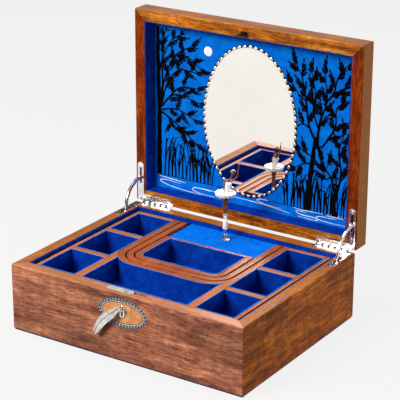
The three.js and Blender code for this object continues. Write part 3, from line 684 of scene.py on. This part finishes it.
def frond(rng, root, heading, length, size, broad):
    """A twig that curves up a little, with slender leaves in pairs and one at its tip."""
    twig, spray = [], []
    turn = rng.uniform(0.15, 0.5) * (1 if math.cos(heading) > 0 else -1)
    at, angle = Vector(root), heading
    steps = 6
    for k in range(steps + 1):
        twig.append(on_scene(at.x, at.y, 0.75 - 0.45 * k / steps))
        if k >= 1:
            for side in (1, -1):
                spread = side * rng.uniform(0.45, 0.8)
                long = size * rng.uniform(0.75, 1.1) * (1.15 - 0.08 * k)
                spray.append((at.x, at.y, angle + spread, long, broad * rng.uniform(0.8, 1.2)))
        angle += turn / steps
        at += Vector((math.cos(angle), math.sin(angle))) * length / steps
    spray.append((at.x, at.y, angle, size, broad))
    return twig, spray


def tree(name, seed, trunk, limbs, leaf_size, leaf_broad, gap):
    """A printed tree: trunk and limbs are guide points (x, height) with a width at each end.

    gap is the distance between fronds along a limb, in mm."""
    rng = random.Random(seed)
    strokes, spray = [], []
    for points, thick, thin in trunk + limbs:
        run = bend(points, 8)
        last = len(run) - 1
        strokes.append([
            on_scene(p.x + rng.uniform(-0.3, 0.3), p.y,
                     (thick + (thin - thick) * i / last) * rng.uniform(0.85, 1.15))
            for i, p in enumerate(run)])
    for points, _, _ in limbs:
        run = bend(points, 8)
        length = sum((b - a).length for a, b in zip(run, run[1:]))
        count = max(2, round(length * 0.72 / gap))
        for i in range(count + 1):
            index = min(len(run) - 2, int((0.28 + 0.72 * i / count) * (len(run) - 1)))
            ahead = run[index + 1] - run[index]
            heading = math.atan2(ahead.y, ahead.x)
            if i < count:
                heading += rng.uniform(0.45, 0.95) * (1 if i % 2 else -1)
            twig, leaves = frond(rng, run[index], heading, leaf_size * rng.uniform(1.7, 2.6),
                                 leaf_size, leaf_broad)
            strokes.append(twig)
            spray += leaves
    print_strokes(f"{name}_branches", strokes)
    inside = [item for item in spray if abs(item[0]) < 136 and item[1] < 209]
    dress(copies(leaf(), leaf_places(inside), f"{name}_leaves"), "lid", PRINT_BLACK, "suede")


def reeds(name, seed, x0, x1, foot, count, tall):
    """Reed blades in clumps: each rises, arches over and ends in a point."""
    rng = random.Random(seed)
    strokes = []
    for i in range(count):
        clump = x0 + (x1 - x0) * (i // 3 + rng.uniform(0.3, 0.7)) * 3 / count
        height = tall * rng.uniform(0.45, 1)
        lean = rng.choice((-1, 1)) * rng.uniform(2, 13)
        run = bend([(clump, foot), (clump + lean * 0.15, foot + height * 0.5),
                    (clump + lean * 0.55, foot + height * 0.88),
                    (clump + lean, foot + height * rng.uniform(0.8, 1))], 5)
        last = len(run) - 1
        widest = rng.uniform(0.55, 1)
        strokes.append([
            on_scene(p.x, p.y, 0.2 + widest * math.sin(math.pi * (0.12 + 0.88 * k / last)) ** 0.8)
            for k, p in enumerate(run)])
    print_strokes(name, strokes)


def ripple(points, width=0.5):
    run = bend(points, 8)
    last = len(run) - 1
    return [on_scene(p.x, p.y, width * (0.4 + 0.6 * math.sin(math.pi * min(1, max(0, k / last)))))
            for k, p in enumerate(run)]


def make_scenery():
    left_limbs = [
        ([(-135, 118), (-126, 150), (-112, 178), (-86, 194)], 1.9, 0.8),
        ([(-137, 150), (-131, 172), (-118, 196), (-104, 206)], 1.5, 0.7),
        ([(-133, 112), (-124, 140), (-106, 160), (-80, 160)], 1.8, 0.8),
        ([(-120, 158), (-108, 172), (-92, 178), (-74, 166)], 1.3, 0.7),
        ([(-133, 108), (-120, 124), (-104, 138), (-78, 140)], 1.7, 0.8),
        ([(-122, 122), (-110, 128), (-94, 126), (-76, 122)], 1.2, 0.7),
        ([(-133, 104), (-118, 108), (-102, 107), (-84, 99)], 1.5, 0.7),
        ([(-134, 102), (-118, 94), (-100, 82), (-78, 66)], 1.7, 0.7),
        ([(-108, 88), (-98, 76), (-90, 60), (-80, 48)], 1.3, 0.7),
        ([(-124, 97), (-118, 88), (-112, 82), (-104, 80)], 1.1, 0.6),
        ([(-139, 180), (-133, 196), (-126, 207)], 1.3, 0.7),
    ]
    left_trunk = [([(-136.5, 18), (-136.5, 60), (-136, 104), (-137.5, 150), (-138, 212)], 4.6, 2.8),
                  ([(-134, 110), (-131, 140), (-132, 170), (-128, 204)], 2.2, 1.0)]
    tree("scene_tree_left", 7, left_trunk, left_limbs, 6.2, 1.9, 10.5)
    right_limbs = [
        ([(88, 106), (80, 124), (76, 150), (70, 178), (62, 193)], 2.2, 0.8),
        ([(82, 118), (72, 122), (62, 116), (54, 110)], 1.4, 0.7),
        ([(92, 100), (96, 130), (104, 156), (100, 190)], 2.3, 0.8),
        ([(77, 150), (66, 158), (56, 170)], 1.3, 0.7),
        ([(94, 118), (86, 140), (88, 164), (82, 188)], 1.5, 0.7),
        ([(100, 150), (112, 166), (118, 186), (130, 198)], 1.8, 0.8),
        ([(112, 166), (124, 172), (136, 178)], 1.3, 0.7),
        ([(98, 96), (110, 112), (120, 128), (134, 134)], 1.7, 0.7),
        ([(104, 104), (116, 126), (118, 150), (134, 158)], 1.5, 0.7),
        ([(84, 84), (74, 88), (64, 96)], 1.4, 0.7),
        ([(84, 74), (74, 72), (64, 66)], 1.4, 0.7),
        ([(118, 44), (112, 62), (100, 76), (94, 92)], 1.9, 0.8),
        ([(122, 46), (126, 70), (122, 96), (128, 118)], 2.0, 0.8),
        ([(126, 60), (134, 72), (136, 92), (134, 108)], 1.5, 0.7),
        ([(112, 62), (106, 58), (104, 66), (108, 76)], 1.2, 0.6),
    ]
    right_trunk = [
        ([(80, 13.6), (83, 40), (86, 74), (90, 108)], 5.2, 2.8),
        ([(119, 13), (117.5, 28), (120, 46)], 4.6, 2.6),
    ]
    tree("scene_tree_right", 11, right_trunk, right_limbs, 6.6, 2.4, 11.5)
    reeds("scene_reeds_left", 3, -131, -54, 17.5, 42, 58)
    reeds("scene_reeds_right", 5, 47, 134, 13.6, 57, 58)
    shore = [[on_scene(-142, 17.5, 0.5), on_scene(-20, 17.5, 0.5)],
             [on_scene(26, 14, 0.5), on_scene(142, 13, 0.5)]]
    print_strokes("scene_shore", shore)
    ripples = [
        [(-137, 15), (-118, 14), (-96, 12.5)],
        [(-104, 10), (-126, 11.5), (-136, 9), (-124, 5), (-100, 2.5), (-72, 1.5)],
        [(-84, 9.5), (-66, 10), (-48, 9.5)],
        [(-58, 9), (-80, 9.5), (-86, 6), (-74, 3), (-52, 2.5)],
        [(-29, 9), (0, 8.5), (30, 7), (57, 4)],
        [(36, 14), (16, 14), (10, 11.5), (22, 8.5), (44, 7.5)],
        [(59, 13.5), (74, 12), (84, 12.5), (110, 13.5), (134, 14)],
        [(80, 10), (66, 9.5), (72, 6), (92, 5.5), (94, 2.5), (68, 3)],
        [(134, 3.5), (108, 3.5), (94, 5.5), (100, 9), (122, 9.5)],
        [(108, 11.6), (120, 12), (132, 11.6)],
    ]
    print_strokes("scene_ripples", [ripple(points) for points in ripples], PRINT_WHITE)
    moon = cylinder("scene_moon", 6, 0.3, (-63.3, SCENE_FACE - 0.1, SCENE_FOOT + 190.8), "Y", 40)
    round_over(moon, lambda c, n: n.y < -0.9, 0.1, 2)
    dress(smooth(moon, 50), "lid", PRINT_WHITE, "suede")


def make_mirror_ring():
    """Rope of cast beads round the glass, on a dark oxidised bed."""
    a, b = low("mirror_bezel"), high("mirror_bezel")
    cx, cz = (a.x + b.x) / 2, (a.z + b.z) / 2
    ra, rb = (b.x - a.x) / 2, (b.z - a.z) / 2
    face, back = a.y, b.y
    width = 3.9

    def oval(name, shrink, y0, y1):
        piece = cylinder(name, 1, y1 - y0, (0, 0, 0), "Y", 128)
        for vertex in piece.data.vertices:
            vertex.co.x = (cx + vertex.co.x / MM * (ra - shrink)) * MM
            vertex.co.z = (cz + vertex.co.z / MM * (rb - shrink)) * MM
            vertex.co.y = y0 * MM if vertex.co.y < 0 else y1 * MM
        return piece

    bed = oval("mirror_ring_bed", 0, face + 0.5, back)
    carve(bed, oval("tool", width, face - 5, back + 5))
    carve(bed, oval("tool", 2.8, high("mirror_glass").y - 1.9, back + 5))
    dress(smooth(bed, 40), "lid", TARNISH, "chrome", "mirror_bezel")
    beads = bead_ring("mirror_ring_beads", (cx, face + 0.55, cz), ra - width / 2, rb - width / 2,
                      64, 12, 2048, (0.36, 0.55, width * 0.47))
    dress(beads, "lid", SILVER, "chrome")


# ------------------------------------------------------------------ lock, inlay and key

KEY_Z = 66
FRONT = low("wall_front").y


def oval_ring(name, cz, a, b, inner_a, inner_b, y0, y1):
    """A flat oval band, or an oval plate when the inner size is nought."""
    def plate(label, ra, rb, near, far):
        piece = cylinder(label, 1, 1, (0, 0, 0), "Y", 72)
        for vertex in piece.data.vertices:
            vertex.co.x *= ra
            vertex.co.z = cz * MM + vertex.co.z * rb
            vertex.co.y = (near if vertex.co.y < 0 else far) * MM
        return piece
    piece = plate(name, a, b, y0, y1)
    if inner_a:
        carve(piece, plate("tool", inner_a, inner_b, y0 - 2, y1 + 2))
    return piece


def make_inlay():
    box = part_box("oval_inlay")
    a, b = (box[1].x - box[0].x) / 2 / MM, (box[1].z - box[0].z) / 2 / MM
    cz = (box[1].z + box[0].z) / 2 / MM
    bead_width = 3.7
    seat = FRONT + 1
    hole = cylinder("tool", 2.6, 12, (0, FRONT, KEY_Z), "Y", 24)
    slot_hole = block("tool", -1.4, 1.4, FRONT - 6, FRONT + 6, KEY_Z - 8.8, KEY_Z)
    veneer = oval_ring("inlay_veneer", cz, a - 0.1, b - 0.1, 0, 0, FRONT + 0.12, seat)
    carve(carve(veneer, hole), slot_hole)
    dress(smooth(veneer, 40), "case", VENEER, "inlay", "oval_inlay")
    # each line of veneer: how far in it starts, its width, and how deep its face lies
    lines = (("inlay_line_dark", VENEER_DARK, bead_width + 0.9, 0.9, 0.03),
             ("inlay_line_pale", VENEER_PALE, bead_width + 0.1, 0.7, 0.03),
             ("inlay_bead_bed", VENEER_DARK, 0, bead_width, 0.01))
    for name, finish, inset, width, sunk in lines:
        strip = oval_ring(name, cz, a - inset, b - inset, a - inset - width, b - inset - width,
                          FRONT + sunk, FRONT + 0.4)
        dress(smooth(strip, 40), "case", finish, "inlay")
    beads = bead_ring("inlay_beads", (0, FRONT - 0.05, cz), a - bead_width / 2, b - bead_width / 2,
                      36, 10, 1440, (0.37, 0.5, bead_width * 0.46))
    dress(beads, "case", ENAMEL, "inlay")


def eased(name, width, body, finish, slot, angle=35):
    """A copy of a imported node's shape with its sharp edges rounded, in its place."""
    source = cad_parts[name]
    piece = bpy.data.objects.new(f"{name}_eased", source.data.copy())
    bpy.context.scene.collection.objects.link(piece)
    with editing(piece):
        bpy.ops.mesh.select_all(action="SELECT")
        bpy.ops.mesh.remove_doubles(threshold=0.00001)
        bpy.ops.mesh.dissolve_limited(angle_limit=math.radians(1))
    ease(piece, width, 2, **SHARP)
    return dress(smooth(piece, angle), body, finish, slot, name)


FEATHER_Y = -132.7  # plane of the feather
QUILL = [(1.8, 3.9), (-1.3, 2.6), (-7.8, -2.9), (-15.8, -9.4), (-23.1, -16.3),
         (-29.1, -24.3), (-33.3, -31.8), (-34.8, -37.2)]


def make_key():
    """The key: a barrel, a swan neck and a feather with ribbed and smooth vanes."""
    steps, rows = 90, 6
    run = bend(QUILL, 14)
    deselect()
    bpy.ops.mesh.primitive_grid_add(x_subdivisions=steps, y_subdivisions=2 * rows, size=1)
    vanes = fresh("key_feather_vanes")
    for vertex in vanes.data.vertices:
        t = vertex.co.x + 0.5
        s = vertex.co.y * 2
        place = t * (len(run) - 1.001)
        i = int(place)
        p = run[i].lerp(run[i + 1], place - i)
        along = (run[i + 1] - run[i]).normalized()
        across = Vector((-along.y, along.x))
        swell = math.sin(math.pi * min(1, 0.06 + 0.94 * t)) ** 0.62
        upper = s < 0
        width = (5.2 if upper else 6.4) * swell * min(1, 0.25 + t * 2.4)
        sweep = along * abs(s) * width * 0.55
        comb = math.sin(2 * math.pi * (t * 26 - abs(s) * 0.8))
        notch = 1 - 0.09 * max(0, comb) * (abs(s) > 0.9) * (2.2 if upper else 1)
        flat = p + across * s * width * notch + sweep * (1 - t ** 3)
        ribs = comb * (0.75 if upper else 0.3) * min(1, abs(s) * 3)
        crown = 0.8 * (1 - abs(s)) ** 0.8 * swell
        vertex.co = mm(flat.x, FEATHER_Y - crown - ribs * 0.35, KEY_Z + flat.y)
    modify(vanes, "SOLIDIFY", thickness=0.7 * MM, offset=0)
    turn_outwards(vanes)
    dress(smooth(vanes, 50), "key", SILVER, "chrome", "feather_key")
    last = len(run) - 1
    quill = tube("key_quill_groove", [[((p.x, FEATHER_Y - 0.95, KEY_Z + p.y), 0.55 - 0.35 * i / last)
                                       for i, p in enumerate(run)]])
    dress(smooth(quill, 60), "key", TARNISH, "chrome")
    neck_guides = [(0, FEATHER_Y + 2.2, -0.6), (0.6, FEATHER_Y - 0.2, 1.4), (2, FEATHER_Y - 0.8, 3.8),
                   (0.6, FEATHER_Y - 0.9, 5.4), (-2, FEATHER_Y - 0.9, 4.4), (-4.6, FEATHER_Y - 0.8, 1.4)]
    neck_run = bend(neck_guides, 8)
    neck = tube("key_neck", [[((p.x, p.y, KEY_Z + p.z), 1.5 - 0.6 * i / (len(neck_run) - 1))
                              for i, p in enumerate(neck_run)]])
    barrel = cylinder("barrel", 1.6, 17.7, (0, FEATHER_Y + 10.05, KEY_Z), "Y", 24)
    collar = cylinder("collar", 2.3, 1.2, (0, FRONT - 2.4, KEY_Z), "Y", 24)
    bit = block("bit", -0.8, 0.8, -117.9, -114.4, KEY_Z - 7.2, KEY_Z)
    shank = join([neck, barrel, collar, bit], "key_shank")
    dress(smooth(shank, 50), "key", SILVER, "chrome")


# ------------------------------------------------------------------ hinges

AXIS = Vector((0, *[(a + b) / 2 for a, b in zip(low("hinge_pin_right"), high("hinge_pin_right"))][1:]))


def make_screws():
    """Countersunk screws: a domed head with a turned slot, one set for each leaf."""
    spots = ((109.5, 121.5), (146, 121.5), (153, 113.5), (153, 78.5))  # on the case's leaf
    case_top, lid_face = high("wall_right").z, low("lid_rail_right").y
    for body, flat in (("case", case_top), ("lid", lid_face)):
        for tag, side in SIDES:
            head = cylinder("head", 1.9, 0.8, (0, 0, -0.35), "Z", 24)
            round_over(head, lambda c, n: n.z > 0.9, 0.35, 3)
            carve(head, block("tool", -0.3, 0.3, -3, 3, -0.25, 2))
            rng = random.Random(f"{body}{tag}")
            places = []
            for x, y in spots:
                turn = Matrix.Rotation(rng.uniform(0, math.pi), 4, "Z")
                if body == "case":
                    place = Matrix.Translation(mm(side * x, y, flat)) @ turn
                else:
                    height = AXIS.z + AXIS.y - y
                    place = (Matrix.Translation(mm(side * x, flat, height))
                             @ Matrix.Rotation(math.pi / 2, 4, "X") @ turn)
                places.append(place)
            screws = copies(head, places, f"hinge_screws_{body}_{tag}")
            dress(smooth(screws, 35), body, NICKEL, "chrome")


def make_stay(tag):
    """A flat quadrant stay, swept about the hinge axis, with a round head at each end."""
    name = f"stay_{tag}"
    a, b = low(name), high(name)
    reach = 33  # from the hinge's axis to the middle of the stay
    half = 2.4  # half its width
    lean = math.radians(10)  # how far it runs on past a quarter turn at each end
    depth = b.x - a.x
    mid = (a.x + b.x) / 2
    steps = 28

    def place(share, radius):
        t = -lean + (math.pi / 2 + 2 * lean) * share
        return mid, AXIS.y - radius * math.cos(t), AXIS.z + radius * math.sin(t)

    deselect()
    bpy.ops.mesh.primitive_grid_add(x_subdivisions=steps, y_subdivisions=1, size=1)
    piece = fresh(f"{name}_swept")
    for vertex in piece.data.vertices:
        i = round((vertex.co.x + 0.5) * steps)
        vertex.co = mm(*place(i / steps, reach + (half if vertex.co.y > 0 else -half)))
    modify(piece, "SOLIDIFY", thickness=depth * MM, offset=0)
    heads = [cylinder("end", 3.1, depth, place(end, reach), "X", 28) for end in (0, 1)]
    for head in heads:
        modify(piece, "BOOLEAN", object=head, operation="UNION", solver="EXACT")
        bpy.data.objects.remove(head)
    ease(piece, 0.35, 2, **SHARP)
    dress(smooth(piece), name, NICKEL, "chrome", name)


def make_hardware():
    for tag, _ in SIDES:
        make_stay(tag)
        eased(f"hinge_leaf_case_{tag}", 0.25, "case", NICKEL, "chrome")
        eased(f"hinge_leaf_lid_{tag}", 0.25, "lid", NICKEL, "chrome")
    make_screws()
    eased("keyhole_plate", 0.35, "case", NICKEL, "chrome")


# ------------------------------------------------------------------ dancer

FACING = math.radians(33.2)
POST = Vector(((low("tilt_post").x + high("tilt_post").x) / 2,
               (low("tilt_post").y + high("tilt_post").y) / 2, 85))
DANCER = POST + Vector((0, 0, 2.2))  # heights in the figure are above this point


def pose(*points):
    """Points in the dancer's own frame (x to her left, z up) as points in the box's."""
    turn = Matrix.Rotation(FACING, 3, "Z")
    return [tuple(DANCER + turn @ Vector(point)) for point in points]


def part(a, b, ra, rb):
    return limb(*pose(a, b), ra, rb)


def lump(place, radius, scale=(1, 1, 1)):
    """A ball in the dancer's frame, turned with her."""
    piece = ball((0, 0, 0), radius, scale)
    piece.matrix_world = Matrix.Translation(mm(*pose(place)[0])) @ Matrix.Rotation(FACING, 4, "Z")
    return settle(piece)


def moulded(parts, name, voxel, rounds):
    """Joins limbs into one skin: a fine remesh, then a few rounds of smoothing."""
    piece = join(parts, name)
    modify(piece, "REMESH", mode="VOXEL", voxel_size=voxel * MM)
    modify(piece, "SMOOTH", factor=0.5, iterations=rounds)
    activate(piece)
    bpy.ops.object.shade_smooth()
    return piece


def line(points, radii):
    """A stroke through points in the dancer's frame."""
    return list(zip(pose(*points), radii))


def painted_line(name, strokes, finish):
    dress(smooth(tube(name, strokes), 60), "dancer", finish, "painted_figure")


def make_figure():
    """The dancer, en pointe, with one arm raised and the other resting on her skirt."""
    skin = []
    for side in (-1, 1):
        skin += [
            part((side * 0.85, 0, 19), (side * 1.1, 0, 25), 0.75, 1.1),
            part((side * 1.1, 0.1, 25), (side * 1.55, 0.5, 31), 1.1, 1.7),
            lump((side * 1.55, 0.55, 31.5), 1.72, (1, 1.05, 1.6)),
            part((side * 1.55, 0.4, 31.5), (side * 1.6, 0, 37), 1.65, 1.3),
            lump((side * 1.6, -0.25, 37.4), 1.35, (1, 1, 1.2)),
            part((side * 1.6, 0, 37), (side * 2.25, 0, 47), 1.35, 2.25),
            lump((side * 2.2, 0.2, 48), 2.4, (1, 1.1, 1.2)),
        ]
    skin += [
        lump((0.4, 0.2, 50), 4.2, (1, 0.8, 0.7)),
        part((0.8, 0, 50), (1.6, 0, 54.5), 3.4, 2.75),
        part((1.6, 0, 54.5), (3.5, 0, 64), 2.7, 3.5),
        lump((3.8, 0, 66.2), 3.9, (1.05, 0.62, 0.7)),
        part((4.4, 0, 67.5), (7.4, 0, 72.6), 1.5, 1.15),
        lump((8.9, 0.1, 76.9), 2.9, (0.95, 1.08, 1.2)),
        lump((8.6, -1, 74.9), 1.9, (1, 0.95, 1)),
        lump((8.7, -3, 76), 0.42, (0.8, 1, 1.5)),
        lump((11.6, 0.3, 76), 0.5, (0.5, 0.8, 1.2)),
        lump((6.2, 0.3, 76), 0.5, (0.5, 0.8, 1.2)),
        part((7.2, 0, 67.6), (10.9, -0.4, 69.6), 1.35, 1.15),
        part((10.9, -0.4, 69.6), (14.1, -1, 73), 1.15, 0.95),
        lump((14.1, -1, 73), 0.98),
        part((14.1, -1, 73), (15.0, -1, 80.5), 0.98, 0.9),
        part((15.0, -1, 80.5), (15.6, -1, 85.4), 0.88, 0.55),
        lump((15.8, -1, 86.8), 0.78, (0.9, 0.55, 1.5)),
        part((15.9, -1, 87.4), (16.7, -1.3, 89.8), 0.42, 0.26),
        part((16, -1, 87.2), (17.2, -1, 89), 0.4, 0.24),
        part((15.5, -1, 86.8), (14.8, -1.2, 88.2), 0.36, 0.22),
        part((0.6, 0, 67.4), (-2.0, -1, 64.6), 1.3, 1.1),
        part((-2.0, -1, 64.6), (-3.2, -2, 61.6), 1.1, 0.95),
        lump((-3.2, -2, 61.6), 1),
        part((-3.2, -2, 61.6), (-1.7, -4.6, 56.4), 0.95, 0.6),
        lump((-1.4, -5.1, 55.3), 0.75, (0.8, 0.7, 1.3)),
        part((-1.3, -5.2, 54.8), (-0.9, -5.7, 53.4), 0.42, 0.28),
    ]
    dress(moulded(skin, "dancer_body", 0.28, 5), "dancer", SKIN, "painted_figure", "dancer_figure")
    bodice = [
        part((0.9, 0, 51.6), (1.6, 0, 54.6), 3.8, 3.15),
        part((1.6, 0, 54.6), (3.5, 0, 63.2), 3.15, 4.05),
        lump((2.4, -1.9, 63.4), 2.3, (1, 0.95, 1)),
        lump((5.3, -1.9, 63.7), 2.3, (1, 0.95, 1)),
        lump((3.7, 0, 64.2), 4.25, (1.04, 0.8, 0.6)),
        part((2.0, -2.3, 64.4), (1.6, -0.4, 68.6), 0.5, 0.45),
        part((6.0, -2.3, 64.6), (6.6, -0.4, 68.8), 0.5, 0.45),
        part((1.6, -0.4, 68.6), (2.2, 2.2, 64.6), 0.45, 0.5),
        part((6.6, -0.4, 68.8), (5.6, 2.2, 64.8), 0.45, 0.5),
    ]
    dress(moulded(bodice, "dancer_bodice", 0.26, 3), "dancer", SATIN, "painted_figure")
    hair = [
        lump((9.1, 0.75, 77.6), 3.25, (0.98, 1.02, 1.02)),
        lump((9.5, 3.2, 79.0), 1.7),
        lump((8.9, 1.4, 75.2), 2.5, (1, 0.9, 1)),
    ]
    dress(moulded(hair, "dancer_hair", 0.26, 3), "dancer", HAIR, "painted_figure")
    band_run = bend([(6.1, 0.3, 78.4), (7.1, -1.2, 80.4), (9.2, -1.5, 81.05), (11.3, -1.2, 80.2),
                     (12.2, 0.3, 78.2)], 8)
    bun_run = [(9.4 + 1.75 * math.cos(t), 2.6, 78.6 + 1.75 * math.sin(t))
               for t in (2 * math.pi * i / 24 for i in range(25))]
    painted_line("dancer_headband", [line(band_run, [0.42] * len(band_run)),
                                     line(bun_run, [0.4] * len(bun_run))], SATIN)
    lashes = []
    for side in (-1, 1):
        lashes.append(line([(8.7 + side * 0.75, -2.75, 76.75), (8.7 + side * 1.15, -2.72, 76.7),
                            (8.7 + side * 1.6, -2.45, 76.8)], (0.12, 0.2, 0.1)))
        lashes.append(line([(8.7 + side * 0.6, -2.85, 77.45), (8.7 + side * 1.2, -2.75, 77.7),
                            (8.7 + side * 1.75, -2.4, 77.5)], (0.07, 0.1, 0.06)))
    painted_line("dancer_eyes_and_brows", lashes, INK)
    lips = line([(8.2, -2.6, 74.75), (8.7, -2.78, 74.65), (9.2, -2.6, 74.75)], (0.1, 0.2, 0.1))
    painted_line("dancer_lips", [lips], LIP)
    shoes = []
    for side in (-1, 1):
        shoes += [
            part((side * 0.8, 0, 16.1), (side * 0.95, -0.1, 18.2), 0.62, 1.0),
            part((side * 0.95, -0.1, 18.2), (side * 1.05, 0.15, 22.2), 1.0, 1.18),
            lump((side * 1.05, 0.5, 21.8), 1.15, (0.95, 1.15, 1.1)),
        ]
    ribbons = []
    for side in (-1, 1):
        for height in (23.2, 24.4):
            turns = [(side * 1.1 + 1.2 * math.cos(t), 1.2 * math.sin(t), height + 0.25 * math.sin(2 * t))
                     for t in (2 * math.pi * i / 16 for i in range(17))]
            ribbons.append(line(turns, [0.24] * len(turns)))
    dress(moulded(shoes, "dancer_shoes", 0.24, 3), "dancer", SATIN, "painted_figure")
    painted_line("dancer_shoe_ribbons", ribbons, SATIN)


WAIST = 2.9  # radius of the hole in each layer of net
# each layer of net: its radius, height, droop and number of waves
NET_LAYERS = ((12.9, 53.0, 0.9, 14), (13.0, 52.2, 1.2, 16), (12.8, 51.6, 1.6, 18), (12.2, 51.0, 1.9, 14))


def make_tutu():
    """Four layers of net: each is a ring with waves that deepen to the hem."""
    layers = []
    for k, (radius, height, droop, waves) in enumerate(NET_LAYERS):
        deselect()
        bpy.ops.mesh.primitive_grid_add(x_subdivisions=180, y_subdivisions=8, size=1)
        ring = fresh("layer")
        for vertex in ring.data.vertices:
            t = vertex.co.y + 0.5
            angle = 2 * math.pi * (vertex.co.x + 0.5)
            wave = math.sin(waves * angle + k * 1.3) + 0.45 * math.sin((2 * waves + 3) * angle + k)
            r = WAIST + (radius - WAIST) * t - 0.35 * t * abs(math.sin(waves * angle / 2))
            z = height - droop * t ** 1.6 + 0.62 * t ** 1.3 * wave
            vertex.co = mm(*pose((0.6 * (1 - t) + r * math.cos(angle), r * math.sin(angle), z))[0])
        with editing(ring):
            bpy.ops.mesh.select_all(action="SELECT")
            bpy.ops.mesh.remove_doubles(threshold=0.000001)
            bpy.ops.mesh.normals_make_consistent(inside=False)
        layers.append(ring)
    tutu = join(layers, "dancer_tutu")
    modify(tutu, "SOLIDIFY", thickness=0.22 * MM, offset=0)
    smooth(tutu, 70)
    dress(tutu, "dancer", TULLE, "tulle", "tutu")


def make_post():
    """Chrome post with a ball foot, the white sleeve that turns on it, and the flange."""
    x, y, z = POST
    bottom, top = low("dancer_sleeve").z, high("dancer_sleeve").z
    foot = ball((x, y, z), 2.4, sides=28)
    stem = cylinder("stem", 2.1, bottom - z, (x, y, (bottom + z) / 2), "Z", 36)
    collar = cylinder("collar", 2.4, 1.2, (x, y, bottom - 0.7), "Z", 36)
    with editing(collar):
        bpy.ops.mesh.select_all(action="SELECT")
        bpy.ops.mesh.bevel(offset=0.25 * MM, segments=2)
    post = join([foot, stem, collar], "tilt_post_turned")
    dress(smooth(post, 40), "post", NICKEL_SOFT, "chrome", "tilt_post")
    sleeve = cylinder("dancer_sleeve_moulded", 3.1, top - bottom, (x, y, (top + bottom) / 2), "Z", 40)
    round_over(sleeve, lambda c, n: abs(n.z) > 0.9, 0.6, 3)
    with editing(sleeve):
        pick_faces(sleeve, lambda c, n: n.z > 0.99 and c.z > top - 1)
        bpy.ops.mesh.inset(thickness=0.9 * MM, depth=0)
        bpy.ops.mesh.extrude_region_move(TRANSFORM_OT_translate={"value": (0, 0, -0.3 * MM)})
    dress(smooth(sleeve, 40), "dancer", PLASTIC, "white_plastic", "dancer_sleeve")
    eased("deck_flange", 0.2, "case", NICKEL_SOFT, "chrome", 30)


# ------------------------------------------------------------------ stage

FLOOR_GLOW = 0.945
WORLD_STRENGTH = 0.28
AIM = Vector((0, 0, 0.1))
# soft boxes: place, width and height, power in watts, tone
LIGHTS = (
    ("key", (-0.62, -1.35, 1.1), (0.7, 0.7), 46, "#FFF6EC"),
    ("top", (-0.1, 0.1, 1.6), (0.9, 0.6), 12, "#FFFFFF"),
    ("side", (1.6, 0.15, 0.4), (0.9, 0.5), 13, "#FFF2E2"),
)


def make_stage():
    """White paper that glows evenly, a soft sky and three soft boxes."""
    deselect()
    bpy.ops.mesh.primitive_plane_add(size=14, location=(0, 0, 0))
    floor = fresh("studio_floor")
    paper, tree, _ = material("studio_paper")
    grain = node(tree, "TexNoise", {"Scale": 40})
    tinted = node(tree, "ValToRGB", {0: grain.outputs["Fac"]}, stops=[(0.3, "#3F3F3F"), (0.7, "#414141")])
    shade(paper, Base_Color=tinted.outputs[0], Roughness=1, Specular_IOR_Level=0,
          Emission_Color=srgb("#F3F3F3"), Emission_Strength=FLOOR_GLOW)
    floor.visible_diffuse = False
    floor.data.materials.append(paper)
    world = bpy.data.worlds.new("studio")
    bpy.context.scene.world = world
    world.use_nodes = True
    place = node(world.node_tree, "TexCoord")
    split = node(world.node_tree, "SeparateXYZ", {0: place.outputs["Generated"]})
    sky = node(world.node_tree, "ValToRGB", {0: split.outputs["Z"]},
               stops=[(0.3, "#8C8A88"), (0.5, "#B8B6B4"), (0.8, "#F4F4F6")])
    background = world.node_tree.nodes["Background"]
    world.node_tree.links.new(sky.outputs[0], background.inputs["Color"])
    background.inputs["Strength"].default_value = WORLD_STRENGTH
    for name, place, size, power, tone in LIGHTS:
        data = bpy.data.lights.new(name, "AREA")
        data.shape = "RECTANGLE"
        data.size, data.size_y = size
        data.energy = power
        data.color = srgb(tone)[:3]
        lamp = bpy.data.objects.new(name, data)
        lamp.location = place
        lamp.rotation_euler = (AIM - Vector(place)).to_track_quat("-Z", "Y").to_euler()
        bpy.context.scene.collection.objects.link(lamp)


def make_camera():
    data = bpy.data.cameras.new("camera")
    data.lens = 145.9
    data.sensor_width = 36
    camera = bpy.data.objects.new("camera", data)
    place, aim = Vector((0.98088, -1.46635, 0.82174)), Vector((0.01498, 0.00980, 0.15752))
    roll = Matrix.Rotation(0.0029, 4, "Z")
    turn = (aim - place).to_track_quat("-Z", "Y").to_matrix().to_4x4()
    camera.matrix_world = Matrix.Translation(place) @ turn @ roll
    bpy.context.scene.collection.objects.link(camera)
    bpy.context.scene.camera = camera
    bpy.context.scene.view_settings.view_transform = "Standard"


make_camera()
finish_nodes()
make_linings()
make_tray()
make_scenery()
make_mirror_ring()
make_inlay()
make_key()
make_hardware()
make_figure()
make_tutu()
make_post()
make_stage()
